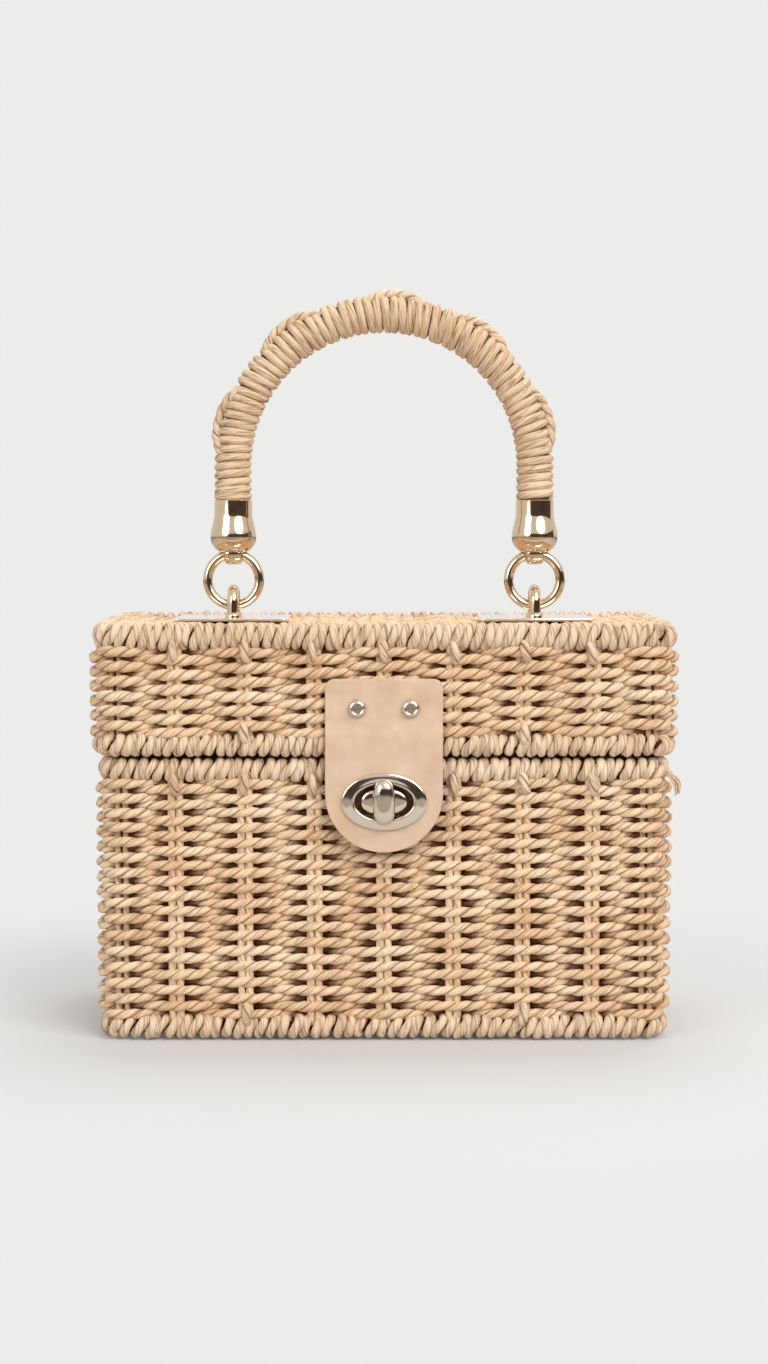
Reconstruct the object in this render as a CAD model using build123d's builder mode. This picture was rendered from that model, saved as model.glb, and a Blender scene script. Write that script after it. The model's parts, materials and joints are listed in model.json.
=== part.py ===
"""Woven paper-cord box bag with a hinged lid, a turn-lock tab and a wrapped top handle.

Millimetres, +Z up, front towards -Y, origin at the centre of the flat underside.
"""
import os
from build123d import *

os.makedirs("parts", exist_ok=True)

# Box plan
body_width = 215.0
body_depth = 102.6
lid_overhang = 1.8
corner_radius = 9.0
wall_thickness = 5.0
panel_thickness = 4.2

# Box heights, from the ground up
base_border_height = 9.4
body_wall_height = 88.4
body_rim_height = 9.2
lid_gap = 0.6
lid_rim_height = 8.8
lid_wall_height = 31.0
top_border_height = 10.7

# Weave: rows round the walls, stakes along each side, gaps beside the stakes
body_row_count = 15
lid_row_count = 6
panel_row_count = 16
ridge_depth = 1.2
front_stake_count = 7
side_stake_count = 3
stake_width = 5.2
gap_width = 2.6
gap_height = 2.4
gap_row_step = 3

# Whipped borders and rims
border_stand = 1.2
roll_thickness = 8.0
roll_bevel = 2.8
turn_pitch = 3.9
turn_depth = 0.8

# Hinge lashings at the back
lashing_thickness = 2.2
lashing_width = 5.0
lashing_spacing = 68.0
lashing_clearance = 0.45
lashing_slot_clearance = 0.6

# Handle arch
handle_span = 119.0
leg_straight = 13.2
wrap_diameter = 15.2
wrap_pitch = 3.25
wrap_groove = 0.8
wrap_sides = 8
core_diameter = 11.0
lacing_width = 3.6
lacing_rise = 2.2
lacing_clearance = 0.05
lacing_start_angles = (7.0, 46.0, 87.0, 119.0, 154.0)
lacing_end_angles = (25.0, 64.0, 101.0, 135.0, 172.0)

# Ferrules, with heights above the plates
ferrule_top_height = 46.0
ferrule_bulge_height = 33.0
ferrule_bottom_height = 27.2
ferrule_neck_height = 39.5
ferrule_neck_diameter = 15.0
ferrule_bulge_diameter = 18.2
ferrule_base_diameter = 12.0
socket_depth = 12.0
eye_width = 6.0
eye_radius = 4.0
eye_hole_radius = 2.7

# Rings, staples and plates
ring_wire = 3.8
ring_radius = 10.2
ring_axis_height = 4.4
staple_wire = 4.5
staple_half_gap = 2.5
staple_height = 12.8
staple_foot_diameter = 6.2
staple_foot_height = 1.2
plate_width = 44.0
plate_depth = 42.0
plate_thickness = 1.0
plate_corner_radius = 1.5
washer_diameter = 9.0
washer_thickness = 1.0
hole_clearance = 0.1

# Leather tab
tab_width = 44.0
tab_lid_reach = 20.8
tab_lock_reach = 19.2
tab_thickness = 2.5
tab_corner_radius = 3.5
tab_bend_drop = 1.9
tab_rim_clearance = 0.6
screw_spacing = 20.0
screw_inset = 11.0
screw_bend_clearance = 0.75
screw_head_diameter = 6.9
screw_head_height = 1.9
screw_recess_diameter = 4.0
screw_recess_depth = 0.7
screw_shank_diameter = 2.4
dome_share = 0.8
tab_washer_diameter = 7.0

# Turn lock
lock_drop = 6.4
bezel_width = 32.2
bezel_height = 21.8
bezel_crest_width = 27.6
bezel_crest_height = 17.6
bezel_opening_width = 21.5
bezel_opening_height = 13.0
bezel_lip = 0.8
bezel_rise = 1.9
tab_hole_clearance = 0.5
backing_width = 29.0
backing_height = 20.0
backing_thickness = 1.0
lock_flange_width = 26.0
lock_flange_height = 12.0
lock_flange_thickness = 2.0
boss_width = 17.3
boss_height = 10.0
boss_reach = 6.7
prong_diameter = 2.0
prong_spacing = 19.0
knob_length = 17.0
knob_width = 8.4
knob_thickness = 4.0
knob_round = 1.6
knob_gap = 0.4
shaft_diameter = 4.0
shaft_clearance = 0.05
shaft_head_diameter = 6.0
shaft_head_thickness = 1.0
shaft_head_clearance = 0.15
cut_overrun = 1.0

# Levels and outlines worked out from the sizes
body_wall_base = base_border_height
body_rim_base = body_wall_base + body_wall_height
body_top = body_rim_base + body_rim_height
lid_rim_base = body_top + lid_gap
lid_wall_base = lid_rim_base + lid_rim_height
top_border_base = lid_wall_base + lid_wall_height
box_top = top_border_base + top_border_height
panel_top = box_top - plate_thickness
lid_width = body_width + 2 * lid_overhang
lid_depth = body_depth + 2 * lid_overhang
body_border_width = body_width + 2 * border_stand
body_border_depth = body_depth + 2 * border_stand
lid_border_width = lid_width + 2 * border_stand
lid_border_depth = lid_depth + 2 * border_stand
border_radius = corner_radius + border_stand
inner_radius = border_radius - roll_thickness
hinge_y = lid_border_depth / 2 - roll_thickness / 2
hinge_z = lid_rim_base + lid_rim_height / 2
body_roll_y = body_border_depth / 2 - roll_thickness / 2
body_roll_z = body_rim_base + body_rim_height / 2
front_stake_pitch = body_width / (front_stake_count + 1)
side_stake_pitch = body_depth / (side_stake_count + 1)
arch_radius = handle_span / 2
arch_height = box_top + ferrule_top_height + leg_straight
ring_axis = box_top + ring_axis_height
ring_centre = ring_axis + ring_radius
eye_axis = ring_centre + ring_radius
body_front = -body_depth / 2
lid_front = -lid_depth / 2
tab_back = -lid_border_depth / 2 - tab_rim_clearance
tab_front = tab_back - tab_thickness
bezel_front = tab_front - bezel_rise
tab_top_height = lid_wall_base + tab_lid_reach
screw_height = tab_top_height - screw_inset
tab_bend_top = screw_height - screw_head_diameter / 2 - screw_bend_clearance
tab_bend_bottom = lid_wall_base - tab_bend_drop
lock_height = body_rim_base - lock_drop
tab_bottom_height = lock_height - tab_lock_reach
flange_front = body_front - lock_flange_thickness
boss_front = body_front - boss_reach
knob_back = bezel_front - knob_gap


def loop_path(width, depth, radius):
    """Rounded rectangle on the ground plane that starts and ends at the middle of the front."""
    across = width / 2 - radius
    along = depth / 2 - radius
    with BuildLine() as loop:
        Line((0, -depth / 2), (across, -depth / 2))
        CenterArc((across, -along), radius, -90, 90)
        Line((width / 2, -along), (width / 2, along))
        CenterArc((across, along), radius, 0, 90)
        Line((across, depth / 2), (-across, depth / 2))
        CenterArc((-across, along), radius, 90, 90)
        Line((-width / 2, along), (-width / 2, -along))
        CenterArc((-across, -along), radius, 180, 90)
        Line((-across, -depth / 2), (0, -depth / 2))
    return loop.wire()


def woven_section(front, base, height, rows):
    """Points of a wall section with one ridge for each row of cord."""
    row = height / rows
    points = [(front + wall_thickness, base), (front + ridge_depth, base)]
    for index in range(rows):
        points.append((front, base + (index + 1 / 2) * row))
        points.append((front + ridge_depth, base + (index + 1) * row))
    points.append((front + wall_thickness, base + height))
    return points


def roll_section(front, base, height):
    """Points of a border section, a roll with bevelled edges."""
    back = front + roll_thickness
    return [
        (back - roll_bevel, base),
        (front + roll_bevel, base),
        (front, base + roll_bevel),
        (front, base + height - roll_bevel),
        (front + roll_bevel, base + height),
        (back - roll_bevel, base + height),
        (back, base + height - roll_bevel),
        (back, base + roll_bevel),
    ]


def turn_outline(width, depth):
    """Points round a border in plan, out on each turn of the whipping and in between two turns."""
    loop = loop_path(width, depth, border_radius)
    turns = round(loop.length / turn_pitch)
    points = []
    for index in range(turns):
        points.append(loop @ (index / turns))
        groove = (index + 1 / 2) / turns
        inward = (loop % groove).rotate(Axis.Z, 90)
        points.append(loop @ groove + inward * turn_depth)
    return points


def panel_section(depth, base, height):
    """Points of a flat panel section with ridges on its upper side."""
    row = depth / panel_row_count
    points = [(-depth / 2, base), (-depth / 2, base + height - ridge_depth)]
    for index in range(panel_row_count):
        points.append((-depth / 2 + (index + 1 / 2) * row, base + height))
        points.append((-depth / 2 + (index + 1) * row, base + height - ridge_depth))
    points.append((depth / 2, base))
    return points


def gap_places(stakes, stake_pitch, base, height, rows):
    """Centres of the gaps beside the stakes, staggered from one stake to the next."""
    row = height / rows
    places = []
    for stake in range(stakes):
        beside = (stake - (stakes - 1) / 2) * stake_pitch + (stake_width + gap_width) / 2
        first = 1 + (stake % 2) * (gap_row_step // 2)
        for valley in range(first, rows, gap_row_step):
            places.append((beside, base + valley * row))
    return places


# Body wall: one woven band with gaps beside the stakes
with BuildPart() as body_wall:
    with BuildSketch(Plane.YZ):
        with BuildLine():
            Polyline(*woven_section(body_front, body_wall_base, body_wall_height, body_row_count), close=True)
        make_face()
    sweep(path=loop_path(body_width, body_depth, corner_radius))
    with BuildSketch(Plane.XZ):
        with Locations(*gap_places(
            front_stake_count, front_stake_pitch, body_wall_base, body_wall_height, body_row_count
        )):
            Rectangle(gap_width, gap_height)
    extrude(amount=body_depth, both=True, mode=Mode.SUBTRACT)
    with BuildSketch(Plane.YZ):
        with Locations(*gap_places(
            side_stake_count, side_stake_pitch, body_wall_base, body_wall_height, body_row_count
        )):
            Rectangle(gap_width, gap_height)
    extrude(amount=body_width, both=True, mode=Mode.SUBTRACT)
    with BuildSketch(Plane.XZ):
        with Locations((-prong_spacing / 2, lock_height), (prong_spacing / 2, lock_height)):
            Circle(prong_diameter / 2 + hole_clearance)
        with Locations((0, lock_height)):
            Circle(shaft_head_diameter / 2 + shaft_head_clearance)
    extrude(amount=body_depth, mode=Mode.SUBTRACT)
    with BuildSketch(Plane.XZ):
        with Locations((0, body_rim_base)):
            with GridLocations(lashing_spacing, 0, 3, 1):
                Rectangle(
                    lashing_width + 2 * lashing_slot_clearance,
                    2 * (lashing_thickness + lashing_clearance + lashing_slot_clearance),
                )
    extrude(amount=-body_depth, mode=Mode.SUBTRACT)
body_wall.part.label = "body_wall"
export_step(body_wall.part, "parts/body_wall.step")

# Base border: whipping round the bottom edge
with BuildPart() as base_border:
    with BuildSketch(Plane.YZ):
        with BuildLine():
            Polyline(*roll_section(-body_border_depth / 2, 0, base_border_height), close=True)
        make_face()
    sweep(path=loop_path(body_border_width, body_border_depth, border_radius))
    with BuildSketch():
        Rectangle(body_border_width + 2 * cut_overrun, body_border_depth + 2 * cut_overrun)
        with BuildLine():
            Polyline(*turn_outline(body_border_width, body_border_depth), close=True)
        make_face(mode=Mode.SUBTRACT)
    extrude(amount=base_border_height, mode=Mode.SUBTRACT)
base_border.part.label = "base_border"
export_step(base_border.part, "parts/base_border.step")

# Base panel: woven floor held inside the base border
with BuildPart() as base_panel:
    with BuildSketch(Plane.YZ):
        with BuildLine():
            Polyline(*panel_section(body_border_depth - 2 * roll_thickness, 0, panel_thickness), close=True)
        make_face()
    extrude(amount=body_border_width / 2, both=True)
    with BuildSketch():
        RectangleRounded(
            body_border_width - 2 * roll_thickness, body_border_depth - 2 * roll_thickness, inner_radius
        )
    extrude(amount=panel_thickness, mode=Mode.INTERSECT)
base_panel.part.label = "base_panel"
export_step(base_panel.part, "parts/base_panel.step")

# Body rim: whipping round the open top of the body
with BuildPart() as body_rim:
    with BuildSketch(Plane.YZ):
        with BuildLine():
            Polyline(*roll_section(-body_border_depth / 2, body_rim_base, body_rim_height), close=True)
        make_face()
    sweep(path=loop_path(body_border_width, body_border_depth, border_radius))
    with BuildSketch(Plane.XY.offset(body_rim_base)):
        Rectangle(body_border_width + 2 * cut_overrun, body_border_depth + 2 * cut_overrun)
        with BuildLine():
            Polyline(*turn_outline(body_border_width, body_border_depth), close=True)
        make_face(mode=Mode.SUBTRACT)
    extrude(amount=body_rim_height, mode=Mode.SUBTRACT)
body_rim.part.label = "body_rim"
export_step(body_rim.part, "parts/body_rim.step")

# Lid rim: whipping round the lower edge of the lid
with BuildPart() as lid_rim:
    with BuildSketch(Plane.YZ):
        with BuildLine():
            Polyline(*roll_section(-lid_border_depth / 2, lid_rim_base, lid_rim_height), close=True)
        make_face()
    sweep(path=loop_path(lid_border_width, lid_border_depth, border_radius))
    with BuildSketch(Plane.XY.offset(lid_rim_base)):
        Rectangle(lid_border_width + 2 * cut_overrun, lid_border_depth + 2 * cut_overrun)
        with BuildLine():
            Polyline(*turn_outline(lid_border_width, lid_border_depth), close=True)
        make_face(mode=Mode.SUBTRACT)
    extrude(amount=lid_rim_height, mode=Mode.SUBTRACT)
lid_rim.part.label = "lid_rim"
export_step(lid_rim.part, "parts/lid_rim.step")

# Lid wall: the same weave, with slots for the lashings and holes for the tab screws
with BuildPart() as lid_wall:
    with BuildSketch(Plane.YZ):
        with BuildLine():
            Polyline(*woven_section(lid_front, lid_wall_base, lid_wall_height, lid_row_count), close=True)
        make_face()
    sweep(path=loop_path(lid_width, lid_depth, corner_radius))
    with BuildSketch(Plane.XZ):
        with Locations(*gap_places(
            front_stake_count, front_stake_pitch, lid_wall_base, lid_wall_height, lid_row_count
        )):
            Rectangle(gap_width, gap_height)
    extrude(amount=lid_depth, both=True, mode=Mode.SUBTRACT)
    with BuildSketch(Plane.YZ):
        with Locations(*gap_places(
            side_stake_count, side_stake_pitch, lid_wall_base, lid_wall_height, lid_row_count
        )):
            Rectangle(gap_width, gap_height)
    extrude(amount=lid_width, both=True, mode=Mode.SUBTRACT)
    with BuildSketch(Plane.XZ):
        with Locations((-screw_spacing / 2, screw_height), (screw_spacing / 2, screw_height)):
            Circle(screw_shank_diameter / 2 + hole_clearance)
    extrude(amount=lid_depth, mode=Mode.SUBTRACT)
    with BuildSketch(Plane.XZ):
        with Locations((0, lid_wall_base)):
            with GridLocations(lashing_spacing, 0, 3, 1):
                Rectangle(
                    lashing_width + 2 * lashing_slot_clearance,
                    2 * (lashing_thickness + lashing_clearance + 2 * lashing_slot_clearance),
                )
    extrude(amount=-lid_depth, mode=Mode.SUBTRACT)
lid_wall.part.label = "lid_wall"
export_step(lid_wall.part, "parts/lid_wall.step")

# Lid top border: whipping round the upper edge of the lid
with BuildPart() as lid_top_border:
    with BuildSketch(Plane.YZ):
        with BuildLine():
            Polyline(*roll_section(-lid_border_depth / 2, top_border_base, top_border_height), close=True)
        make_face()
    sweep(path=loop_path(lid_border_width, lid_border_depth, border_radius))
    with BuildSketch(Plane.XY.offset(top_border_base)):
        Rectangle(lid_border_width + 2 * cut_overrun, lid_border_depth + 2 * cut_overrun)
        with BuildLine():
            Polyline(*turn_outline(lid_border_width, lid_border_depth), close=True)
        make_face(mode=Mode.SUBTRACT)
    extrude(amount=top_border_height, mode=Mode.SUBTRACT)
lid_top_border.part.label = "lid_top_border"
export_step(lid_top_border.part, "parts/lid_top_border.step")

# Lid top panel: woven top held inside its border, pierced for the staple legs
staple_bend_radius = staple_half_gap + staple_wire / 2
staple_places = [
    (-arch_radius, -staple_bend_radius),
    (-arch_radius, staple_bend_radius),
    (arch_radius, -staple_bend_radius),
    (arch_radius, staple_bend_radius),
]
panel_base = panel_top - panel_thickness
with BuildPart() as lid_top_panel:
    with BuildSketch(Plane.YZ):
        with BuildLine():
            Polyline(
                *panel_section(lid_border_depth - 2 * roll_thickness, panel_base, panel_thickness), close=True
            )
        make_face()
    extrude(amount=lid_border_width / 2, both=True)
    with BuildSketch(Plane.XY.offset(panel_base)):
        RectangleRounded(
            lid_border_width - 2 * roll_thickness, lid_border_depth - 2 * roll_thickness, inner_radius
        )
    extrude(amount=panel_thickness, mode=Mode.INTERSECT)
    with BuildSketch(Plane.XY.offset(panel_base)):
        with Locations(*staple_places):
            Circle(staple_wire / 2 + hole_clearance)
    extrude(amount=panel_thickness, mode=Mode.SUBTRACT)
lid_top_panel.part.label = "lid_top_panel"
export_step(lid_top_panel.part, "parts/lid_top_panel.step")

# Hinge lashings: three cord loops tied round the back of the body rim and the lid rim
lashing_inner = max(body_rim_height, lid_rim_height) / 2 + lashing_clearance
lashing_outer = lashing_inner + lashing_thickness
with BuildPart() as hinge_lashings:
    for place in (-lashing_spacing, 0, lashing_spacing):
        with BuildSketch(Plane.YZ.offset(place)):
            with Locations((hinge_y, hinge_z), (body_roll_y, body_roll_z)):
                Circle(lashing_outer)
            make_hull()
            with BuildSketch(mode=Mode.SUBTRACT):
                with Locations((hinge_y, hinge_z), (body_roll_y, body_roll_z)):
                    Circle(lashing_inner)
                make_hull()
        extrude(amount=lashing_width / 2, both=True)
hinge_lashings.part.label = "hinge_lashings"
export_step(hinge_lashings.part, "parts/hinge_lashings.step")

# Handle core: bent rod whose ends sit in the ferrules
leg_base = box_top + ferrule_top_height
core_base = leg_base - socket_depth
with BuildPart() as handle_core:
    with BuildLine(Plane.XZ) as core_line:
        Line((-arch_radius, core_base), (-arch_radius, arch_height))
        ThreePointArc((-arch_radius, arch_height), (0, arch_height + arch_radius), (arch_radius, arch_height))
        Line((arch_radius, arch_height), (arch_radius, core_base))
    with BuildSketch(Plane.XY.offset(core_base)):
        with Locations((-arch_radius, 0)):
            Circle(core_diameter / 2)
    sweep(path=core_line.wire())
handle_core.part.label = "handle_core"
export_step(handle_core.part, "parts/handle_core.step")

# Handle wrap: turns of cord wound tightly along the rod from ferrule to ferrule
with BuildPart() as handle_wrap:
    with BuildLine(Plane.XZ, mode=Mode.PRIVATE) as wrap_line:
        Line((-arch_radius, leg_base), (-arch_radius, arch_height))
        ThreePointArc((-arch_radius, arch_height), (0, arch_height + arch_radius), (arch_radius, arch_height))
        Line((arch_radius, arch_height), (arch_radius, leg_base))
    wrap_path = wrap_line.wire()
    wrap_count = round(wrap_path.length / wrap_pitch)
    for half_turn in range(2 * wrap_count + 1):
        share = half_turn / (2 * wrap_count)
        with BuildSketch(Plane(wrap_path @ share, x_dir=(0, 1, 0), z_dir=wrap_path % share)):
            RegularPolygon(
                wrap_diameter / 2 - wrap_groove * ((half_turn + 1) % 2),
                wrap_sides,
                major_radius=False,
                rotation=180 / wrap_sides,
            )
    loft(ruled=True)
    with BuildSketch(Plane.XY.offset(leg_base)):
        with Locations((-arch_radius, 0)):
            Circle(core_diameter / 2)
    sweep(path=wrap_path, mode=Mode.SUBTRACT)
handle_wrap.part.label = "handle_wrap"
export_step(handle_wrap.part, "parts/handle_wrap.step")

# Handle lacing: a strand that rises over the turns five times along the outside of the arch
lacing_seat = arch_radius + wrap_diameter / 2 + lacing_clearance
with BuildPart() as handle_lacing:
    for start, end in zip(lacing_start_angles, lacing_end_angles):
        with BuildSketch(Plane.XZ):
            with BuildLine():
                seat = CenterArc((0, arch_height), lacing_seat, start, end - start)
                outward = Vector(lacing_seat + lacing_rise).rotate(Axis.Z, (start + end) / 2)
                ThreePointArc(seat @ 0, Vector(0, arch_height) + outward, seat @ 1)
            make_face()
        extrude(amount=lacing_width / 2, both=True)
handle_lacing.part.label = "handle_lacing"
export_step(handle_lacing.part, "parts/handle_lacing.step")

# Left ferrule: turned cup on the end of the rod, with an eye for the ring below it
left_plane = Plane(origin=(-arch_radius, 0, box_top), x_dir=(1, 0, 0), z_dir=(0, -1, 0))
left_side_plane = Plane(origin=(-arch_radius, 0, 0), x_dir=(0, 1, 0), z_dir=(1, 0, 0))
socket_floor = ferrule_top_height - socket_depth
with BuildPart() as left_ferrule:
    with BuildSketch(left_plane):
        with BuildLine():
            Polyline(
                (0, socket_floor),
                (0, ferrule_bottom_height),
                (ferrule_base_diameter / 2, ferrule_bottom_height),
            )
            Spline(
                (ferrule_base_diameter / 2, ferrule_bottom_height),
                (ferrule_bulge_diameter / 2, ferrule_bulge_height),
                (ferrule_neck_diameter / 2, ferrule_neck_height),
                tangents=[(1, 0), (0, 1)],
            )
            Polyline(
                (ferrule_neck_diameter / 2, ferrule_neck_height),
                (ferrule_neck_diameter / 2, ferrule_top_height),
                (core_diameter / 2, ferrule_top_height),
                (core_diameter / 2, socket_floor),
                (0, socket_floor),
            )
        make_face()
    revolve(axis=Axis((-arch_radius, 0, 0), (0, 0, 1)))
    with BuildSketch(left_side_plane):
        with Locations((0, eye_axis)):
            Circle(eye_radius)
    extrude(amount=eye_width / 2, both=True)
    with BuildSketch(left_side_plane):
        with Locations((0, eye_axis)):
            Circle(eye_hole_radius)
    extrude(amount=eye_width, both=True, mode=Mode.SUBTRACT)
left_ferrule.part.label = "left_ferrule"
export_step(left_ferrule.part, "parts/left_ferrule.step")

# Right ferrule
with BuildPart() as right_ferrule:
    mirror(left_ferrule.part, about=Plane.YZ)
right_ferrule.part.label = "right_ferrule"
export_step(right_ferrule.part, "parts/right_ferrule.step")

# Left ring: round wire through the staple and the ferrule eye
with BuildPart() as left_ring:
    with BuildSketch(left_side_plane):
        with Locations((0, eye_axis)):
            Circle(ring_wire / 2)
    revolve(axis=Axis((-arch_radius, 0, ring_centre), (0, 1, 0)))
left_ring.part.label = "left_ring"
export_step(left_ring.part, "parts/left_ring.step")

# Right ring
with BuildPart() as right_ring:
    mirror(left_ring.part, about=Plane.YZ)
right_ring.part.label = "right_ring"
export_step(right_ring.part, "parts/right_ring.step")

# Left staple: bent wire with flared feet, its legs passing down through plate and panel
staple_bend_height = box_top + staple_height - staple_bend_radius - staple_wire / 2
staple_base = panel_base - washer_thickness
with BuildPart() as left_staple:
    with BuildLine(left_side_plane) as staple_line:
        Line((-staple_bend_radius, staple_base), (-staple_bend_radius, staple_bend_height))
        ThreePointArc(
            (-staple_bend_radius, staple_bend_height),
            (0, staple_bend_height + staple_bend_radius),
            (staple_bend_radius, staple_bend_height),
        )
        Line((staple_bend_radius, staple_bend_height), (staple_bend_radius, staple_base))
    with BuildSketch(Plane.XY.offset(staple_base)):
        with Locations(staple_places[0]):
            Circle(staple_wire / 2)
    sweep(path=staple_line.wire())
    with BuildSketch(Plane.XY.offset(box_top)):
        with Locations(*staple_places[:2]):
            Circle(staple_foot_diameter / 2)
    extrude(amount=staple_foot_height)
left_staple.part.label = "left_staple"
export_step(left_staple.part, "parts/left_staple.step")

# Right staple
with BuildPart() as right_staple:
    mirror(left_staple.part, about=Plane.YZ)
right_staple.part.label = "right_staple"
export_step(right_staple.part, "parts/right_staple.step")

# Left plate: bright sheet under the staple
with BuildPart() as left_plate:
    with BuildSketch(Plane.XY.offset(panel_top)):
        with Locations((-arch_radius, 0)):
            RectangleRounded(plate_width, plate_depth, plate_corner_radius)
        with Locations(*staple_places[:2]):
            Circle(staple_wire / 2 + hole_clearance, mode=Mode.SUBTRACT)
    extrude(amount=plate_thickness)
left_plate.part.label = "left_plate"
export_step(left_plate.part, "parts/left_plate.step")

# Right plate
with BuildPart() as right_plate:
    mirror(left_plate.part, about=Plane.YZ)
right_plate.part.label = "right_plate"
export_step(right_plate.part, "parts/right_plate.step")

# Staple washers: four discs inside the lid that the staple legs are riveted over
with BuildPart() as staple_washers:
    with BuildSketch(Plane.XY.offset(staple_base)):
        with Locations(*staple_places):
            Circle(washer_diameter / 2)
            Circle(staple_wire / 2 + hole_clearance, mode=Mode.SUBTRACT)
    extrude(amount=washer_thickness)
staple_washers.part.label = "staple_washers"
export_step(staple_washers.part, "parts/staple_washers.step")

# Clasp tab: thick leather strip that bends out over the rims, rounded at its lower end
tab_round_height = tab_bottom_height + tab_width / 2
tab_bend = [(lid_front, tab_bend_top), (tab_back, tab_bend_bottom)]
tab_bend_outer = [(lid_front - tab_thickness, tab_bend_top), (tab_front, tab_bend_bottom)]
with BuildPart() as clasp_tab:
    with BuildSketch(Plane.YZ):
        with BuildLine():
            Line((lid_front, tab_top_height), tab_bend[0])
            Spline(*tab_bend, tangents=[(0, -1), (0, -1)])
            Polyline(
                tab_bend[1], (tab_back, tab_bottom_height), (tab_front, tab_bottom_height), tab_bend_outer[1]
            )
            Spline(*reversed(tab_bend_outer), tangents=[(0, 1), (0, 1)])
            Polyline(
                tab_bend_outer[0], (lid_front - tab_thickness, tab_top_height), (lid_front, tab_top_height)
            )
        make_face()
    extrude(amount=tab_width / 2, both=True)
    with BuildSketch(Plane.XZ):
        with BuildLine():
            Polyline(
                (-tab_width / 2, tab_round_height),
                (-tab_width / 2, tab_top_height),
                (tab_width / 2, tab_top_height),
                (tab_width / 2, tab_round_height),
            )
            ThreePointArc(
                (tab_width / 2, tab_round_height), (0, tab_bottom_height), (-tab_width / 2, tab_round_height)
            )
        tab_outline = make_face()
        fillet(tab_outline.vertices().group_by(Axis.Y)[-1], tab_corner_radius)
        with Locations((-screw_spacing / 2, screw_height), (screw_spacing / 2, screw_height)):
            Circle(screw_shank_diameter / 2 + hole_clearance, mode=Mode.SUBTRACT)
        with Locations((0, lock_height)):
            Ellipse(
                bezel_opening_width / 2 + tab_hole_clearance,
                bezel_opening_height / 2 + tab_hole_clearance,
                mode=Mode.SUBTRACT,
            )
    extrude(amount=lid_depth, mode=Mode.INTERSECT)
clasp_tab.part.label = "clasp_tab"
export_step(clasp_tab.part, "parts/clasp_tab.step")

# Clasp bezel: oval frame on the tab, its crest sloping in to a low lip round the opening
with BuildPart() as clasp_bezel:
    with BuildSketch(Plane.XZ.offset(-tab_front)):
        with Locations((0, lock_height)):
            Ellipse(bezel_width / 2, bezel_height / 2)
    with BuildSketch(Plane.XZ.offset(-bezel_front)):
        with Locations((0, lock_height)):
            Ellipse(bezel_crest_width / 2, bezel_crest_height / 2)
    loft()
    with BuildSketch(Plane.XZ.offset(bezel_lip - tab_front)):
        with Locations((0, lock_height)):
            Ellipse(bezel_opening_width / 2, bezel_opening_height / 2)
    with BuildSketch(Plane.XZ.offset(-bezel_front)):
        with Locations((0, lock_height)):
            Ellipse(bezel_crest_width / 2, bezel_crest_height / 2)
    loft(mode=Mode.SUBTRACT)
    with BuildSketch(Plane.XZ.offset(-tab_front)):
        with Locations((0, lock_height)):
            Ellipse(bezel_opening_width / 2, bezel_opening_height / 2)
    extrude(amount=bezel_rise, mode=Mode.SUBTRACT)
clasp_bezel.part.label = "clasp_bezel"
export_step(clasp_bezel.part, "parts/clasp_bezel.step")

# Clasp backing: flat oval washer that grips the tab from behind
with BuildPart() as clasp_backing:
    with BuildSketch(Plane.XZ.offset(-tab_back)):
        with Locations((0, lock_height)):
            Ellipse(backing_width / 2, backing_height / 2)
            Ellipse(
                bezel_opening_width / 2 + tab_hole_clearance,
                bezel_opening_height / 2 + tab_hole_clearance,
                mode=Mode.SUBTRACT,
            )
    extrude(amount=-backing_thickness)
clasp_backing.part.label = "clasp_backing"
export_step(clasp_backing.part, "parts/clasp_backing.step")

# Tab screws: two domed heads with a recess, and shanks through tab and wall
screw_places = [(-screw_spacing / 2, screw_height), (screw_spacing / 2, screw_height)]
screw_seat = tab_thickness - lid_front
screw_end = wall_thickness + washer_thickness
with BuildPart() as tab_screws:
    with BuildSketch(Plane.XZ.offset(screw_seat)):
        with Locations(*screw_places):
            Circle(screw_head_diameter / 2)
    extrude(amount=screw_head_height)
    fillet(tab_screws.faces().group_by(Axis.Y)[0].edges(), screw_head_height * dome_share)
    with BuildSketch(Plane.XZ.offset(screw_seat + screw_head_height - screw_recess_depth)):
        with Locations(*screw_places):
            Circle(screw_recess_diameter / 2)
    extrude(amount=screw_recess_depth, mode=Mode.SUBTRACT)
    with BuildSketch(Plane.XZ.offset(screw_seat)):
        with Locations(*screw_places):
            Circle(screw_shank_diameter / 2)
    extrude(amount=-(tab_thickness + screw_end))
tab_screws.part.label = "tab_screws"
export_step(tab_screws.part, "parts/tab_screws.step")

# Tab washers: two discs inside the lid that the screws draw up against
with BuildPart() as tab_washers:
    with BuildSketch(Plane.XZ.offset(-lid_front - screw_end)):
        with Locations(*screw_places):
            Circle(tab_washer_diameter / 2)
            Circle(screw_shank_diameter / 2 + hole_clearance, mode=Mode.SUBTRACT)
    extrude(amount=washer_thickness)
tab_washers.part.label = "tab_washers"
export_step(tab_washers.part, "parts/tab_washers.step")

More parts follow.
